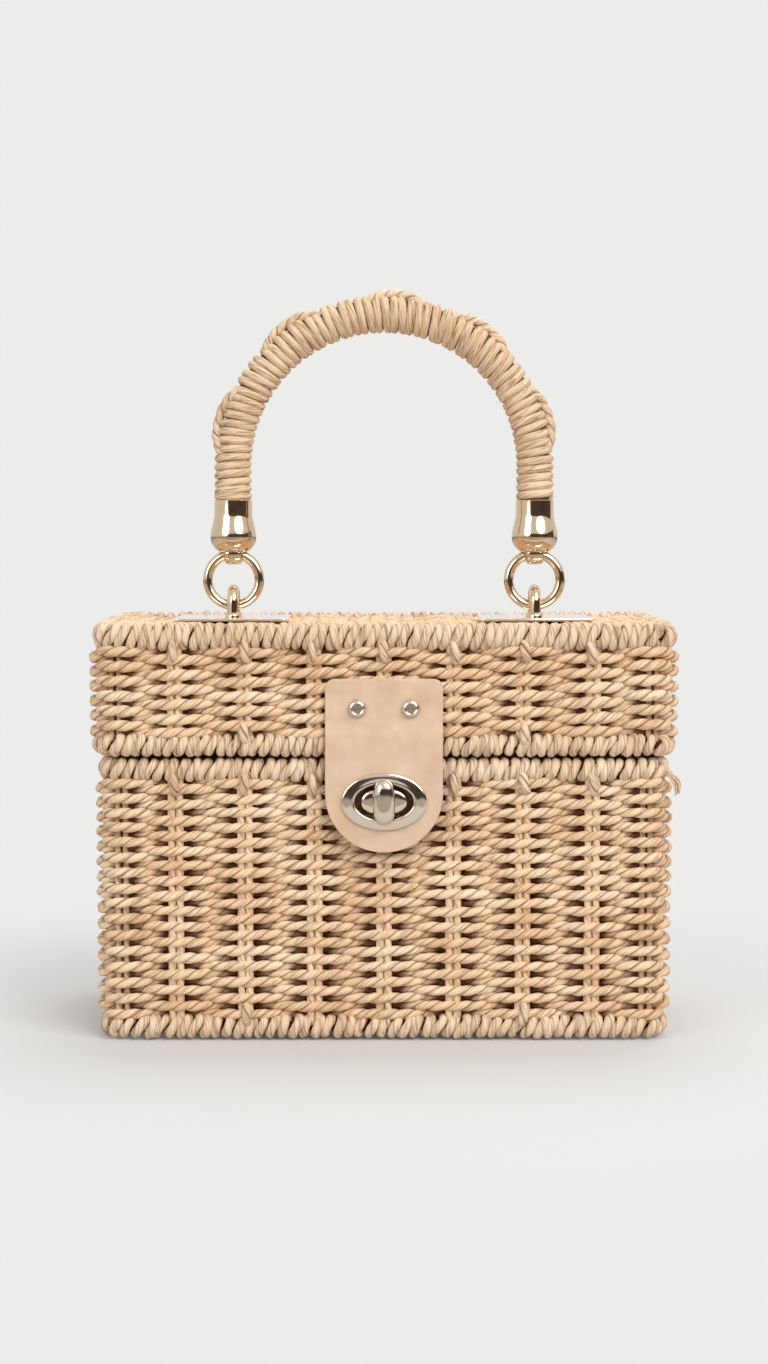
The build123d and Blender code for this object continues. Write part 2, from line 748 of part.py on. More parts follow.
# Lock base: oval boss on a flange, with a bore for the knob and two prongs through the wall
prong_places = [(-prong_spacing / 2, lock_height), (prong_spacing / 2, lock_height)]
with BuildPart() as lock_base:
    with BuildSketch(Plane.XZ.offset(-body_front)):
        with Locations((0, lock_height)):
            Ellipse(lock_flange_width / 2, lock_flange_height / 2)
    extrude(amount=lock_flange_thickness)
    with BuildSketch(Plane.XZ.offset(-flange_front)):
        with Locations((0, lock_height)):
            Ellipse(boss_width / 2, boss_height / 2)
    extrude(amount=flange_front - boss_front)
    with BuildSketch(Plane.XZ.offset(-body_front)):
        with Locations((0, lock_height)):
            Circle(shaft_diameter / 2 + shaft_clearance)
    extrude(amount=boss_reach, mode=Mode.SUBTRACT)
    with BuildSketch(Plane.XZ.offset(-body_front)):
        with Locations(*prong_places):
            Circle(prong_diameter / 2)
    extrude(amount=-(wall_thickness + washer_thickness))
lock_base.part.label = "lock_base"
export_step(lock_base.part, "parts/lock_base.step")

# Lock backplate: strip inside the body that the prongs are clenched over
with BuildPart() as lock_backplate:
    with BuildSketch(Plane.XZ.offset(-body_front - wall_thickness)):
        with Locations((0, lock_height)):
            SlotOverall(lock_flange_width, lock_flange_height)
        with Locations(*prong_places):
            Circle(prong_diameter / 2 + hole_clearance, mode=Mode.SUBTRACT)
    extrude(amount=-washer_thickness)
lock_backplate.part.label = "lock_backplate"
export_step(lock_backplate.part, "parts/lock_backplate.step")

# Lock knob: rounded bar on a shaft whose riveted head holds it behind the base
with BuildPart() as lock_knob:
    with BuildSketch(Plane.XZ.offset(-knob_back)):
        with Locations((0, lock_height)):
            SlotOverall(knob_length, knob_width, rotation=90)
    extrude(amount=knob_thickness)
    fillet(lock_knob.faces().sort_by(Axis.Y)[0].edges(), knob_round)
    with BuildSketch(Plane.XZ.offset(-knob_back)):
        with Locations((0, lock_height)):
            Circle(shaft_diameter / 2)
    extrude(amount=body_front - knob_back + shaft_head_clearance, dir=(0, 1, 0))
    with BuildSketch(Plane.XZ.offset(-body_front - shaft_head_clearance)):
        with Locations((0, lock_height)):
            Circle(shaft_head_diameter / 2)
    extrude(amount=-shaft_head_thickness)
lock_knob.part.label = "lock_knob"
export_step(lock_knob.part, "parts/lock_knob.step")
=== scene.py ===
# %% [markdown]
# # A woven box bag
# The bag is a rigid box of twisted paper cord: rows woven round upright stakes, edges whipped
# with the same cord, a leather tab with a turn lock, and a wrapped handle on metal rings.
# The CAD model gives every place and size. This lesson dresses it: each soft solid is replaced
# by real cords, and each metal piece by a smooth turned or bent one. Lengths are in millimetres
# until Blender gets them, in metres.

# %% Load the frame
import json
from math import cos, pi, radians, sin

import bmesh
import bpy
import numpy as np
from mathutils import Matrix, Vector

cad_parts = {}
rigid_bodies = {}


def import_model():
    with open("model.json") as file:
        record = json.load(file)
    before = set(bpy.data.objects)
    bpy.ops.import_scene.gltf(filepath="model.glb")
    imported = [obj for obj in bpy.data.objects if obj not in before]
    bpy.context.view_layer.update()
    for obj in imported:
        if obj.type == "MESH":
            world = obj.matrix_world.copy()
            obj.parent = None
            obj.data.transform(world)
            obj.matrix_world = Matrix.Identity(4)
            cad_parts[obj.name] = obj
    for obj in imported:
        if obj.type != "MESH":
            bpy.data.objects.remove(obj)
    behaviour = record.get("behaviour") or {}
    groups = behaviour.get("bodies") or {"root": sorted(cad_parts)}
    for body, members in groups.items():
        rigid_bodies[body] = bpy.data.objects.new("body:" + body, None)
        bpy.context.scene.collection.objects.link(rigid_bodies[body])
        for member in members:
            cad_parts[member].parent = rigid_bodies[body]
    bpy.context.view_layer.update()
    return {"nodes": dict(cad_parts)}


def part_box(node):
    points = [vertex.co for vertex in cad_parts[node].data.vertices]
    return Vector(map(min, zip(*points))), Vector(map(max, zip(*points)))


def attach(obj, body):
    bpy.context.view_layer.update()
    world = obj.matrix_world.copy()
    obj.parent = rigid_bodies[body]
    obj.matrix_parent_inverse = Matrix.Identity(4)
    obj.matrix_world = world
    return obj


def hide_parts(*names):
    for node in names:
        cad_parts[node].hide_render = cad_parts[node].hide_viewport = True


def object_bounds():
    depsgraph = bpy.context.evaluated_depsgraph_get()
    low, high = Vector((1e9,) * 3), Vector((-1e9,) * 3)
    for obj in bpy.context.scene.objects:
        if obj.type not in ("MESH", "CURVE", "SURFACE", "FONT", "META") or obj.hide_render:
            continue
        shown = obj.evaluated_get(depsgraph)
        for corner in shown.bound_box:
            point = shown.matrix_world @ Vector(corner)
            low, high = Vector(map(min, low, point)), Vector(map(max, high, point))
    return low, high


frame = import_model()
MM = 0.001
print("CAD nodes:", len(frame["nodes"]))


# %% [markdown]
# ## Colours and nodes
# Colours are read as sRGB hex values, as a colour picker shows them, and Blender wants linear
# light. One function turns one into the other. A second adds a shader node with its settings,
# values, links and any ramp stops, so that each material below reads as a short list.

# %% Colour and node helpers
def linear(hex_colour):
    """sRGB hex to linear RGBA."""
    parts = [int(hex_colour[i:i + 2], 16) / 255 for i in (1, 3, 5)]
    return [c / 12.92 if c <= 0.04045 else ((c + 0.055) / 1.055) ** 2.4 for c in parts] + [1.0]


def add(tree, kind, settings=None, values=None, links=None, stops=()):
    """Adds a node with its settings, its socket values, the sockets that feed it and its stops."""
    node = tree.nodes.new(kind)
    for key, value in (settings or {}).items():
        setattr(node, key, value)
    for key, value in (values or {}).items():
        node.inputs[key].default_value = value
    for key, source in (links or {}).items():
        tree.links.new(source, node.inputs[key])
    for index, (place, colour) in enumerate(stops):
        band = node.color_ramp.elements
        stop = band[index] if index < 2 else band.new(place)
        stop.position = place
        stop.color = linear(colour)
    return node


def new_material(name):
    """An empty node material with its Principled shader wired to the output."""
    material = bpy.data.materials.new(name)
    material.use_nodes = True
    tree = material.node_tree
    tree.nodes.clear()
    shader = add(tree, "ShaderNodeBsdfPrincipled")
    add(tree, "ShaderNodeOutputMaterial", links={"Surface": shader.outputs["BSDF"]})
    return material, tree, shader


print("middle grey in linear light:", round(linear("#808080")[0], 3))


# %% [markdown]
# ## Paper cord
# Raffia-like paper is slit, twisted and plied: two plies, each full of fine creases that run
# along the ply. The eye sees a matt wheat colour, long pale and dark streaks that follow the
# twist, thin folds, and a brown line where the plies meet; the dark folds and the brown line are
# painted shade. A pattern laid over the whole bag would cut across the cords, so each cord carries
# four attributes of its own: `lay`, a place on the ply that is stretched along it, `groove`, which
# nears 1 in the valley between the plies, `tone`, a small difference from cord to cord, and
# `hollow`, which nears 1 on the outer side where the cord dives behind a stake and a dark brown
# shade is painted. Cord that is bound tightly round an edge or the handle is a little greyer, with
# more painted shade in its creases, so it has a material of its own.

# %% Paper cord material
# The lay is counted in radii of the cord. Real creases are finer than these streaks and folds,
# which are drawn as coarse as they need to be to show.
CORD_RADIUS_MM = 2.0
STREAK_MM, FOLD_MM, PATCH_MM = 1.1, 1.5, 24
STREAK_SHARE, PATCH_SHARE = 0.75, 0.55
FOLD_STRETCH, FOLD_WIDTH = 0.45, 0.055
VALLEY_POWER, VALLEY_DEPTH = 3.6, 0.95


def fold_lines(tree, lay, crease_shade):
    """Thin lines of painted shade along the ply, drawn where a noise passes its middle value."""
    stretched = add(tree, "ShaderNodeVectorMath", {"operation": "MULTIPLY"},
                    {1: (1.0, 1.0, FOLD_STRETCH)}, {0: lay}).outputs["Vector"]
    fold = add(tree, "ShaderNodeTexNoise", values={"Scale": CORD_RADIUS_MM / FOLD_MM, "Detail": 1.0},
               links={"Vector": stretched}).outputs["Fac"]
    off = add(tree, "ShaderNodeMath", {"operation": "SUBTRACT"}, {1: 0.5}, {0: fold}).outputs[0]
    near = add(tree, "ShaderNodeMath", {"operation": "ABSOLUTE"}, links={0: off}).outputs[0]
    return add(tree, "ShaderNodeMapRange", {"interpolation_type": "SMOOTHSTEP"},
               {"From Min": 0.0, "From Max": FOLD_WIDTH, "To Min": crease_shade, "To Max": 0.0},
               {"Value": near}).outputs["Result"]


def paper_cord_material(name, pale, wheat, deep, valley, shade_brown, crease_shade):
    material, tree, shader = new_material(name)
    lay = add(tree, "ShaderNodeAttribute", {"attribute_name": "lay"}).outputs["Vector"]
    groove, tone, hollow = (add(tree, "ShaderNodeAttribute", {"attribute_name": key}).outputs["Fac"]
                            for key in ("groove", "tone", "hollow"))
    place = add(tree, "ShaderNodeTexCoord").outputs["Object"]
    streak = add(tree, "ShaderNodeTexNoise",
                 values={"Scale": CORD_RADIUS_MM / STREAK_MM, "Detail": 4.0, "Roughness": 0.6},
                 links={"Vector": lay}).outputs["Fac"]
    patch = add(tree, "ShaderNodeTexNoise", values={"Scale": 1 / (PATCH_MM * MM), "Detail": 2.0},
                links={"Vector": place}).outputs["Fac"]
    shade = tone
    for share, pattern in ((PATCH_SHARE, patch), (STREAK_SHARE, streak)):
        shade = add(tree, "ShaderNodeMath", {"operation": "MULTIPLY_ADD"}, {1: share},
                    {0: pattern, 2: shade}).outputs[0]
    level = add(tree, "ShaderNodeMapRange", values={"From Min": 0.30, "From Max": 1.10},
                links={"Value": shade}).outputs["Result"]
    colour = add(tree, "ShaderNodeValToRGB", links={"Fac": level},
                 stops=[(0.0, deep), (1.0, pale), (0.5, wheat)]).outputs["Color"]
    # Painted shade: thin fold lines and the valley between the plies darken to the valley colour, and the
    # hollows behind the stakes darken to a deep brown.
    sharp = add(tree, "ShaderNodeMath", {"operation": "POWER"}, {1: VALLEY_POWER}, {0: groove})
    depth = add(tree, "ShaderNodeMath", {"operation": "MULTIPLY"}, {1: VALLEY_DEPTH},
                {0: sharp.outputs[0]}).outputs[0]
    for amount, tint in ((fold_lines(tree, lay, crease_shade), valley), (depth, valley), (hollow, shade_brown)):
        colour = add(tree, "ShaderNodeMix", {"data_type": "RGBA"}, {7: linear(tint)},
                     {0: amount, 6: colour}).outputs[2]
    bump = add(tree, "ShaderNodeBump", values={"Strength": 0.55, "Distance": 0.25 * MM},
               links={"Height": streak})
    rough = add(tree, "ShaderNodeMapRange", values={"To Min": 0.52, "To Max": 0.78},
                links={"Value": streak})
    tree.links.new(colour, shader.inputs["Base Color"])
    tree.links.new(bump.outputs["Normal"], shader.inputs["Normal"])
    tree.links.new(rough.outputs["Result"], shader.inputs["Roughness"])
    shader.inputs["Specular IOR Level"].default_value = 0.12
    return material


# In each cord material the last colours are painted shade: one for the folds and ply valleys, a darker
# brown for the hollows behind the stakes.
wheat_cord = paper_cord_material("paper_cord_natural", pale="#F9E8D3", wheat="#EDCFAB",
                                 deep="#C6976B", valley="#6A3A10", shade_brown="#5A2C06", crease_shade=0.42)
bound_cord = paper_cord_material("paper_cord_tightly_bound", pale="#F1E0CB", wheat="#E6CBAB",
                                 deep="#C29A70", valley="#5A3210", shade_brown="#4E2A0C", crease_shade=0.55)
print("materials:", wheat_cord.name, bound_cord.name)


# %% [markdown]
# ## A twisted cord
# A two-ply cord is the sweep of a section with two lobes that turns as it goes. Blender's curves
# do this by themselves: a bevel object gives the section, each point's tilt turns it, and each
# point's radius swells or thins it. A spline along every cord, then one conversion to a mesh,
# makes hundreds of cords at once. Modelling each ply as its own tube would need twice the faces.
# Cord that is pressed flat has softer lobes, and a single strand is round.

# %% Cord sections
SECTION_POINTS = 8
LOBE_OFFSET = {"plied_section": 0.23, "soft_section": 0.15, "round_section": 0.0}
VALLEY_SHARE = {"plied_section": 1.0, "soft_section": 0.85, "round_section": 0.0}


def cord_section(name):
    """Two overlapping round lobes, drawn with their valleys on points of their own."""
    curve = bpy.data.curves.new(name, "CURVE")
    curve.dimensions = "2D"
    spline = curve.splines.new("POLY")
    spline.points.add(SECTION_POINTS - 1)
    offset = LOBE_OFFSET[name]
    lobe = 1 - offset
    for index, point in enumerate(spline.points):
        angle = 2 * pi * index / SECTION_POINTS
        reach = offset * abs(cos(angle)) + (lobe ** 2 - (offset * sin(angle)) ** 2) ** 0.5
        point.co = (reach * cos(angle) * MM, reach * sin(angle) * MM, 0, 1)
    spline.use_cyclic_u = True
    shape = bpy.data.objects.new(name, curve)
    bpy.context.scene.collection.objects.link(shape)
    return shape


plied_section, soft_section, round_section = map(cord_section, LOBE_OFFSET)
print("cord sections:", ", ".join(LOBE_OFFSET))

# %% One cord as a spline
LAY_MM = 12.5


def add_cord(curve, points, radii, closed, lay, start):
    """Adds one twisted cord to a curve and gives each point's distance along it."""
    count = len(points)
    beyond = points[:1] if closed else points[-1:]
    steps = np.linalg.norm(np.diff(points, axis=0, append=beyond), axis=1)
    along = np.concatenate([[0], np.cumsum(steps)[:-1]])
    total = steps.sum()
    turns = max(1, round(total / lay)) if closed else total / lay
    spline = curve.splines.new("POLY")
    spline.points.add(count - 1)
    spline.points.foreach_set("co", np.column_stack([points * MM, np.ones(count)]).ravel())
    spline.points.foreach_set("radius", np.broadcast_to(radii, count).astype(float))
    spline.points.foreach_set("tilt", start - 2 * pi * turns * along / total)
    spline.use_cyclic_u = closed
    return along


print(f"one turn of the plies: {LAY_MM} mm")


# %% [markdown]
# ## From curve to piece
# The curve becomes a mesh, its open ends are filled, and each point gets the four attributes.
# Every piece in this lesson then ends in the same way: one material, smooth shading and the
# body it moves with.

# %% Finished pieces
def cord_mesh(name, curve):
    """The mesh of a bevelled curve, one ring of section points after another."""
    source = bpy.data.objects.new(name + "_path", curve)
    bpy.context.scene.collection.objects.link(source)
    evaluated = source.evaluated_get(bpy.context.evaluated_depsgraph_get())
    mesh = bpy.data.meshes.new_from_object(evaluated)
    bpy.data.objects.remove(source)
    mesh.name = name
    return mesh


def close_ends(mesh):
    shape = bmesh.new()
    shape.from_mesh(mesh)
    open_edges = [edge for edge in shape.edges if edge.is_boundary]
    bmesh.ops.holes_fill(shape, edges=open_edges, sides=SECTION_POINTS)
    bmesh.ops.recalc_face_normals(shape, faces=shape.faces)
    shape.to_mesh(mesh)
    shape.free()


def finish_piece(name, mesh, body, material):
    """Links a mesh as a smooth piece that rides on a body."""
    mesh.materials.clear()
    mesh.materials.append(material)
    mesh.shade_smooth()
    piece = bpy.data.objects.new(name, mesh)
    bpy.context.scene.collection.objects.link(piece)
    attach(piece, body)
    triangles = sum(len(face.vertices) - 2 for face in mesh.polygons)
    print(f"{name}: {len(mesh.vertices)} points, {triangles} triangles")
    return piece


# %% Cord maker
rng = np.random.default_rng(7)
UP = np.array([0.0, 0.0, 1.0])
# The pattern is laid out over a share of a cord's true length, so its streaks come out long.
LAY_SHARE = 0.22
TONE_SPREAD = 0.08


def cord_piece(name, runs, body, closed=False, twist="MINIMUM", lay=LAY_MM, section=plied_section,
               material=wheat_cord):
    """One mesh of many cords. A run is its points and their radii, in millimetres. It may also
    say how much painted shade it takes in the hollows and which way its shaded side faces."""
    curve = bpy.data.curves.new(name, "CURVE")
    curve.dimensions = "3D"
    curve.twist_mode = twist
    curve.bevel_mode = "OBJECT"
    curve.bevel_object = section
    around = 2 * pi * np.arange(SECTION_POINTS) / SECTION_POINTS
    lays, tones, hollows, middles, fronts = [], [], [], [], []
    for points, radii, *hidden in runs:
        start = len(lays) % 2 * pi / 2 + rng.uniform(-0.4, 0.4)
        along = add_cord(curve, points, radii, closed, lay, start)
        length = along[:, None] * LAY_SHARE / CORD_RADIUS_MM
        ply = np.cos(around) + rng.uniform(0, 50), np.sin(around), length
        lays.append(np.stack(np.broadcast_arrays(*ply), axis=-1).reshape(-1, 3))
        tones.append(np.full(len(lays[-1]), rng.uniform(-TONE_SPREAD, TONE_SPREAD)))
        shade_amount, front = hidden or (0.0, UP)
        hollows.append(np.repeat(np.broadcast_to(shade_amount, len(points)), SECTION_POINTS))
        middles.append(np.repeat(points, SECTION_POINTS, axis=0))
        fronts.append(np.repeat(np.broadcast_to(front, points.shape), SECTION_POINTS, axis=0))
    mesh = cord_mesh(name, curve)
    spots = np.empty(3 * len(mesh.vertices))
    mesh.vertices.foreach_get("co", spots)
    # The painted hollow shade falls only on the side of each cord that faces out, unless no direction is
    # given.
    outside = (spots.reshape(-1, 3) / MM - np.concatenate(middles)) * np.concatenate(fronts)
    hollow_shading = np.concatenate(hollows) * np.clip(outside.sum(axis=1) + 1.0, 0, 1)
    in_valley = np.arange(len(hollow_shading)) % (SECTION_POINTS // 2) == SECTION_POINTS // 4
    groove = in_valley * VALLEY_SHARE[section.name]
    for key, kind, field, values in (("lay", "FLOAT_VECTOR", "vector", np.concatenate(lays)),
                                     ("groove", "FLOAT", "value", groove),
                                     ("tone", "FLOAT", "value", np.concatenate(tones)),
                                     ("hollow", "FLOAT", "value", hollow_shading)):
        data = mesh.attributes.new(key, kind, "POINT").data
        data.foreach_set(field, values.ravel().astype(np.float32))
    close_ends(mesh)
    return finish_piece(name, mesh, body, material)


print("each cord carries lay, groove, tone and hollow")


# %% [markdown]
# ## Round the box
# Everything woven follows the same rounded rectangle. Its heading turns only at the corners, so
# three straight-line tables (heading, and the two coordinates of the corner centre) give any
# point on it and the direction that faces outwards. A Bezier loop has that shape too, but cords
# and stakes are placed by their distance along it, and these tables take a distance as it is.

# %% Walking round a rounded box
# How far the rows' path lies inside the outer face of the CAD wall, at the sides and the front.
ROW_REACH = np.array([1.9, 3.3])
CORNER_BEND = 5.0


def box_mm(node):
    """Lowest and highest corner of a CAD node, in millimetres."""
    return [np.array(corner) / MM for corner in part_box(node)]


def walk(half_x, half_y, radius, distance):
    """Points and outward directions at distances from the front's middle, first to the right."""
    side_x, side_y, bend = half_x - radius, half_y - radius, radius * pi / 2
    legs = [0, side_x, bend, 2 * side_y, bend, 2 * side_x, bend, 2 * side_y, bend, side_x]
    marks = np.cumsum(legs)
    spot = np.mod(distance, marks[-1])
    heading = np.interp(spot, marks, pi / 2 * np.array([0, 0, 1, 1, 2, 2, 3, 3, 4, 4]))
    centre_x = np.interp(spot, marks, side_x * np.array([0, 1, 1, 1, 1, -1, -1, -1, -1, 0]))
    centre_y = np.interp(spot, marks, side_y * np.array([-1, -1, -1, 1, 1, 1, 1, -1, -1, -1]))
    outward = np.column_stack([np.sin(heading), -np.cos(heading), np.zeros_like(heading)])
    centre = np.column_stack([centre_x, centre_y, np.zeros_like(heading)])
    return centre + radius * outward, outward


def loop_length(half_x, half_y, radius):
    return 4 * (half_x + half_y - 2 * radius) + 2 * pi * radius


wall_low, wall_high = box_mm("body_wall")
lid_low, lid_high = box_mm("lid_wall")
body_outline = (*(wall_high[:2] - ROW_REACH), CORNER_BEND)
lid_outline = (*(lid_high[:2] - ROW_REACH), CORNER_BEND)
print(f"round the body {loop_length(*body_outline):.1f} mm, the lid {loop_length(*lid_outline):.1f} mm")


# %% [markdown]
# ## Woven walls
# Pairs of stakes stand all round the box, and the rows are woven between them. Each row passes
# over one stake and under the next, and the next row does the opposite. A cosine between stakes
# gives the wave. Where a cord crosses over a stake it lies loose and thick, and between stakes
# it is squeezed by its neighbours, so its radius follows the same wave. A bump on a plain wall
# would be quicker, but its edge would stay straight and no shadow would fall between the rows.

# %% Where the stakes stand
FRONT_STAKES, SIDE_STAKES = 9, 4
HALF_ROUND = FRONT_STAKES + SIDE_STAKES
FRONT_REACH = 78.5
FRONT_INSET, SIDE_INSET = 1.5, 3.0
CORNER_STAKES = [first + end for first in (0, HALF_ROUND)
                 for end in (0, FRONT_STAKES - 1, FRONT_STAKES, HALF_ROUND - 1)]


def stake_marks(half_x, half_y, radius):
    """Distances of the stakes along the front, a side, the back and the other side."""
    side_x, side_y, bend = half_x - radius, half_y - radius, radius * pi / 2
    inner = np.linspace(-FRONT_REACH, FRONT_REACH, FRONT_STAKES - 2)
    front = np.concatenate([[-side_x + FRONT_INSET], inner, [side_x - FRONT_INSET]])
    side = np.linspace(SIDE_INSET - side_y, side_y - SIDE_INSET, SIDE_STAKES)
    half = np.concatenate([front, side_x + bend + side_y + side])
    return np.concatenate([half, half + loop_length(half_x, half_y, radius) / 2])


print("pairs of stakes round the body:", len(stake_marks(*body_outline)))

# %% Rows
OVER_RADIUS, SQUEEZED_RADIUS, BEHIND_EXTRA = 2.2, 1.96, 0.28
WAVE, DIVE = 2.0, 2.7
STEP_MM = 1.5
DRIFT_MM, DRIFT_KEPT, DRIFT_WAVES = 0.13, 0.75, (3, 5, 8, 13)
SWELL_POWER, SWAY_POWER = 1.4, 0.7
FULLNESS, UNEVEN, RIPPLES = (0.94, 1.05), 0.04, (9, 17)
# How dark the painted shade is in the hollows behind the stakes.
HOLLOW_SHADE = 0.92


def woven_rows(name, body, outline, base, height, rows, first=0, over=OVER_RADIUS):
    """Rows round a box. The number of the first one says which stakes it crosses over."""
    length, marks = loop_length(*outline), stake_marks(*outline)
    count = round(length / STEP_MM)
    distance = np.arange(count) * length / count
    places = np.concatenate([marks, [marks[0] + length]])
    spot = np.where(distance < marks[0] + length, distance, distance - length)
    phase = pi * np.interp(spot, places, np.arange(len(places)))
    points, outward = walk(*outline, distance)
    pitch = height / rows
    runs, drift = [], np.zeros(count)
    for row in range(rows):
        wave = np.cos(phase + pi * (row + first))
        fresh = sum(rng.normal(0, DRIFT_MM)
                    * np.sin(2 * pi * k * distance / length + rng.uniform(0, 2 * pi)) for k in DRIFT_WAVES)
        drift = DRIFT_KEPT * drift + fresh
        level = base + (row + 0.5) * pitch + drift
        ripple = np.sin(2 * pi * rng.integers(*RIPPLES) * distance / length + rng.uniform(0, 6))
        swell = np.abs(wave) ** SWELL_POWER * rng.uniform(*FULLNESS)
        sway = np.where(wave > 0, WAVE, DIVE) * np.sign(wave) * np.abs(wave) ** SWAY_POWER
        path = points + outward * sway[:, None] + UP * level[:, None]
        # Painted shade where the row lies in the hollow behind a stake.
        hidden = HOLLOW_SHADE * np.clip(-2.0 * wave - 0.5, 0, 1)
        behind = BEHIND_EXTRA * np.clip(-wave, 0, 1)
        thick = SQUEEZED_RADIUS + (over - SQUEEZED_RADIUS) * swell + behind
        runs.append((path, (1 + UNEVEN * ripple) * thick, hidden, outward))
    return cord_piece(name, runs, body, closed=True, twist="Z_UP")


print(f"rows swell from {SQUEEZED_RADIUS} to {OVER_RADIUS} mm in radius")

# %% Stakes
PAIR_HALF = 1.5
STAKE_RADIUS, CORNER_STAKE_RADIUS = 1.6, 1.3
CORNER_STAKE_OUT = -0.9
STAKE_STEP_MM, STAKE_LAY_MM = 2.4, 16.0
STAKE_SWAY, STAKE_SWAY_SPAN = 0.2, 9


def stake_pairs(name, body, outline, base, top, out):
    """Pairs of upright cords, as far out of the rows' middle as is said. Corner pairs lie behind it."""
    levels = np.linspace(base, top, max(4, round((top - base) / STAKE_STEP_MM)))
    runs = []
    for index, mark in enumerate(stake_marks(*outline)):
        at_corner = index in CORNER_STAKES
        for side in (-PAIR_HALF, PAIR_HALF):
            spot, outward = walk(*outline, np.full(len(levels), mark + side))
            sway = STAKE_SWAY * np.sin(levels / STAKE_SWAY_SPAN + rng.uniform(0, 6))
            reach = (CORNER_STAKE_OUT if at_corner else out) + sway
            path = spot + outward * reach[:, None] + UP * levels[:, None]
            runs.append((path, CORNER_STAKE_RADIUS if at_corner else STAKE_RADIUS))
    return cord_piece(name, runs, body, lay=STAKE_LAY_MM, section=soft_section)


print("corner stakes:", CORNER_STAKES)


# %% [markdown]
# ## Body wall
# The box has 31 rows, which run on a little under the whipping at its foot and its rim. They
# could be one mesh. Two halves keep each of them light, and the upper half goes on counting so
# that its first row crosses over the other stakes.

# %% Body wall
BODY_ROWS_LOW, BODY_ROWS_HIGH = 15, 16
BODY_TUCK, BODY_TUCKS = 1.4, 2.6
BODY_STAKE_OUT, BODY_STAKE_TUCK = 1.25, 4
rows_base = wall_low[2] - BODY_TUCK
half_wall = (wall_high[2] - wall_low[2] + BODY_TUCKS) / 2
rows_low = woven_rows("body_rows_lower", "basket", body_outline, rows_base, half_wall, BODY_ROWS_LOW)
rows_high = woven_rows("body_rows_upper", "basket", body_outline, rows_base + half_wall, half_wall,
                       BODY_ROWS_HIGH, first=BODY_ROWS_LOW)
stake_pairs("body_stakes", "basket", body_outline, wall_low[2] - BODY_STAKE_TUCK,
            wall_high[2] + BODY_STAKE_TUCK, BODY_STAKE_OUT)
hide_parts("body_wall")
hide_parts("body_wall")


# %% [markdown]
# ## Lid wall
# The lid is the same weave, twelve rows deep and packed tighter: its rows are a little fatter,
# and its stakes lie further in between them. So the same two functions make it, with values of
# its own.

# %% Lid wall
LID_ROWS, LID_OVER_RADIUS = 12, 2.4
LID_TUCK, LID_TUCKS = 1.0, 2.2
LID_STAKE_OUT, LID_STAKE_FOOT, LID_STAKE_HEAD = 0.7, 3, 4
lid_rows = woven_rows("lid_rows", "lid", lid_outline, lid_low[2] - LID_TUCK,
                      lid_high[2] - lid_low[2] + LID_TUCKS, LID_ROWS, first=1, over=LID_OVER_RADIUS)
stake_pairs("lid_stakes", "lid", lid_outline, lid_low[2] - LID_STAKE_FOOT,
            lid_high[2] + LID_STAKE_HEAD, LID_STAKE_OUT)
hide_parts("lid_wall")


# %% [markdown]
# ## Woven top and floor
# The lid's top and the floor are the same weave laid flat: rows run along the bag, over and under
# stakes that cross it. The path is a plain wave here, so it needs no walk round the box. The rows
# are pressed close, which the softer section and a small drift give, so that no light shows
# through.

# %% Flat panels
PANEL_WAVE, PANEL_RADIUS, PANEL_SQUEEZED = 1.05, 1.95, 1.80
PANEL_PITCH, PANEL_STEP_MM = 2.85, 1.7
PANEL_DRIFTS = ((0.12, 31), (0.10, 13))
PANEL_TUCK, PANEL_STAKE_TUCK = 2, 3
PANEL_STAKES, PANEL_STAKE_POINTS = 9, 24
PANEL_PAIR_HALF, PANEL_STAKE_RADIUS, PANEL_STAKE_LAY_MM = 1.4, 1.2, 9.0


def woven_panel(name, node, body, face_up):
    """Rows and stakes in place of a flat node, with the rows flush with the side that shows."""
    low, high = box_mm(node)
    inset = PANEL_WAVE + PANEL_RADIUS
    mid = high[2] - inset if face_up else low[2] + inset
    width, breadth = high[0] - low[0], high[1] - low[1] + 2 * PANEL_TUCK
    along = np.linspace(low[0] - PANEL_TUCK, high[0] + PANEL_TUCK, round(width / PANEL_STEP_MM))
    rows = round(breadth / PANEL_PITCH)
    stake_gap = width / (PANEL_STAKES - 1)
    runs = []
    for row in range(rows):
        wave = np.cos(pi * (along - low[0]) / stake_gap + pi * row)
        across = low[1] - PANEL_TUCK + (row + 0.5) * breadth / rows
        drift = sum(size * np.sin(along / span + rng.uniform(0, 6)) for size, span in PANEL_DRIFTS)
        swell = PANEL_SQUEEZED + (PANEL_RADIUS - PANEL_SQUEEZED) * np.abs(wave) ** SWELL_POWER
        runs.append((np.column_stack([along, across + drift, mid + PANEL_WAVE * wave]), swell))
    piece = cord_piece(name, runs, body, section=soft_section)
    stakes = []
    y = np.linspace(low[1] - PANEL_STAKE_TUCK, high[1] + PANEL_STAKE_TUCK, PANEL_STAKE_POINTS)
    for stake in range(PANEL_STAKES):
        for side in (-PANEL_PAIR_HALF, PANEL_PAIR_HALF):
            x = np.full_like(y, low[0] + stake * stake_gap + side)
            stakes.append((np.column_stack([x, y, np.full_like(y, mid)]), PANEL_STAKE_RADIUS))
    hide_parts(node)
    cord_piece(name + "_stakes", stakes, body, lay=PANEL_STAKE_LAY_MM)


woven_panel("lid_top_rows", "lid_top_panel", "lid", True)
woven_panel("base_rows", "base_panel", "basket", False)


# %% [markdown]
# ## Whipped edges
# A cord wound round and round each edge covers the ends of the stakes. It could be a ring for
# each turn, but a real whipping is one long coil, so one closed spline makes it. A sine added to
# its advance lets it lean on the outside, where it shows, and go straight back on the inside. A
# core runs inside the coil and closes the view between its turns; its colour is a painted dark
# brown shade all over.

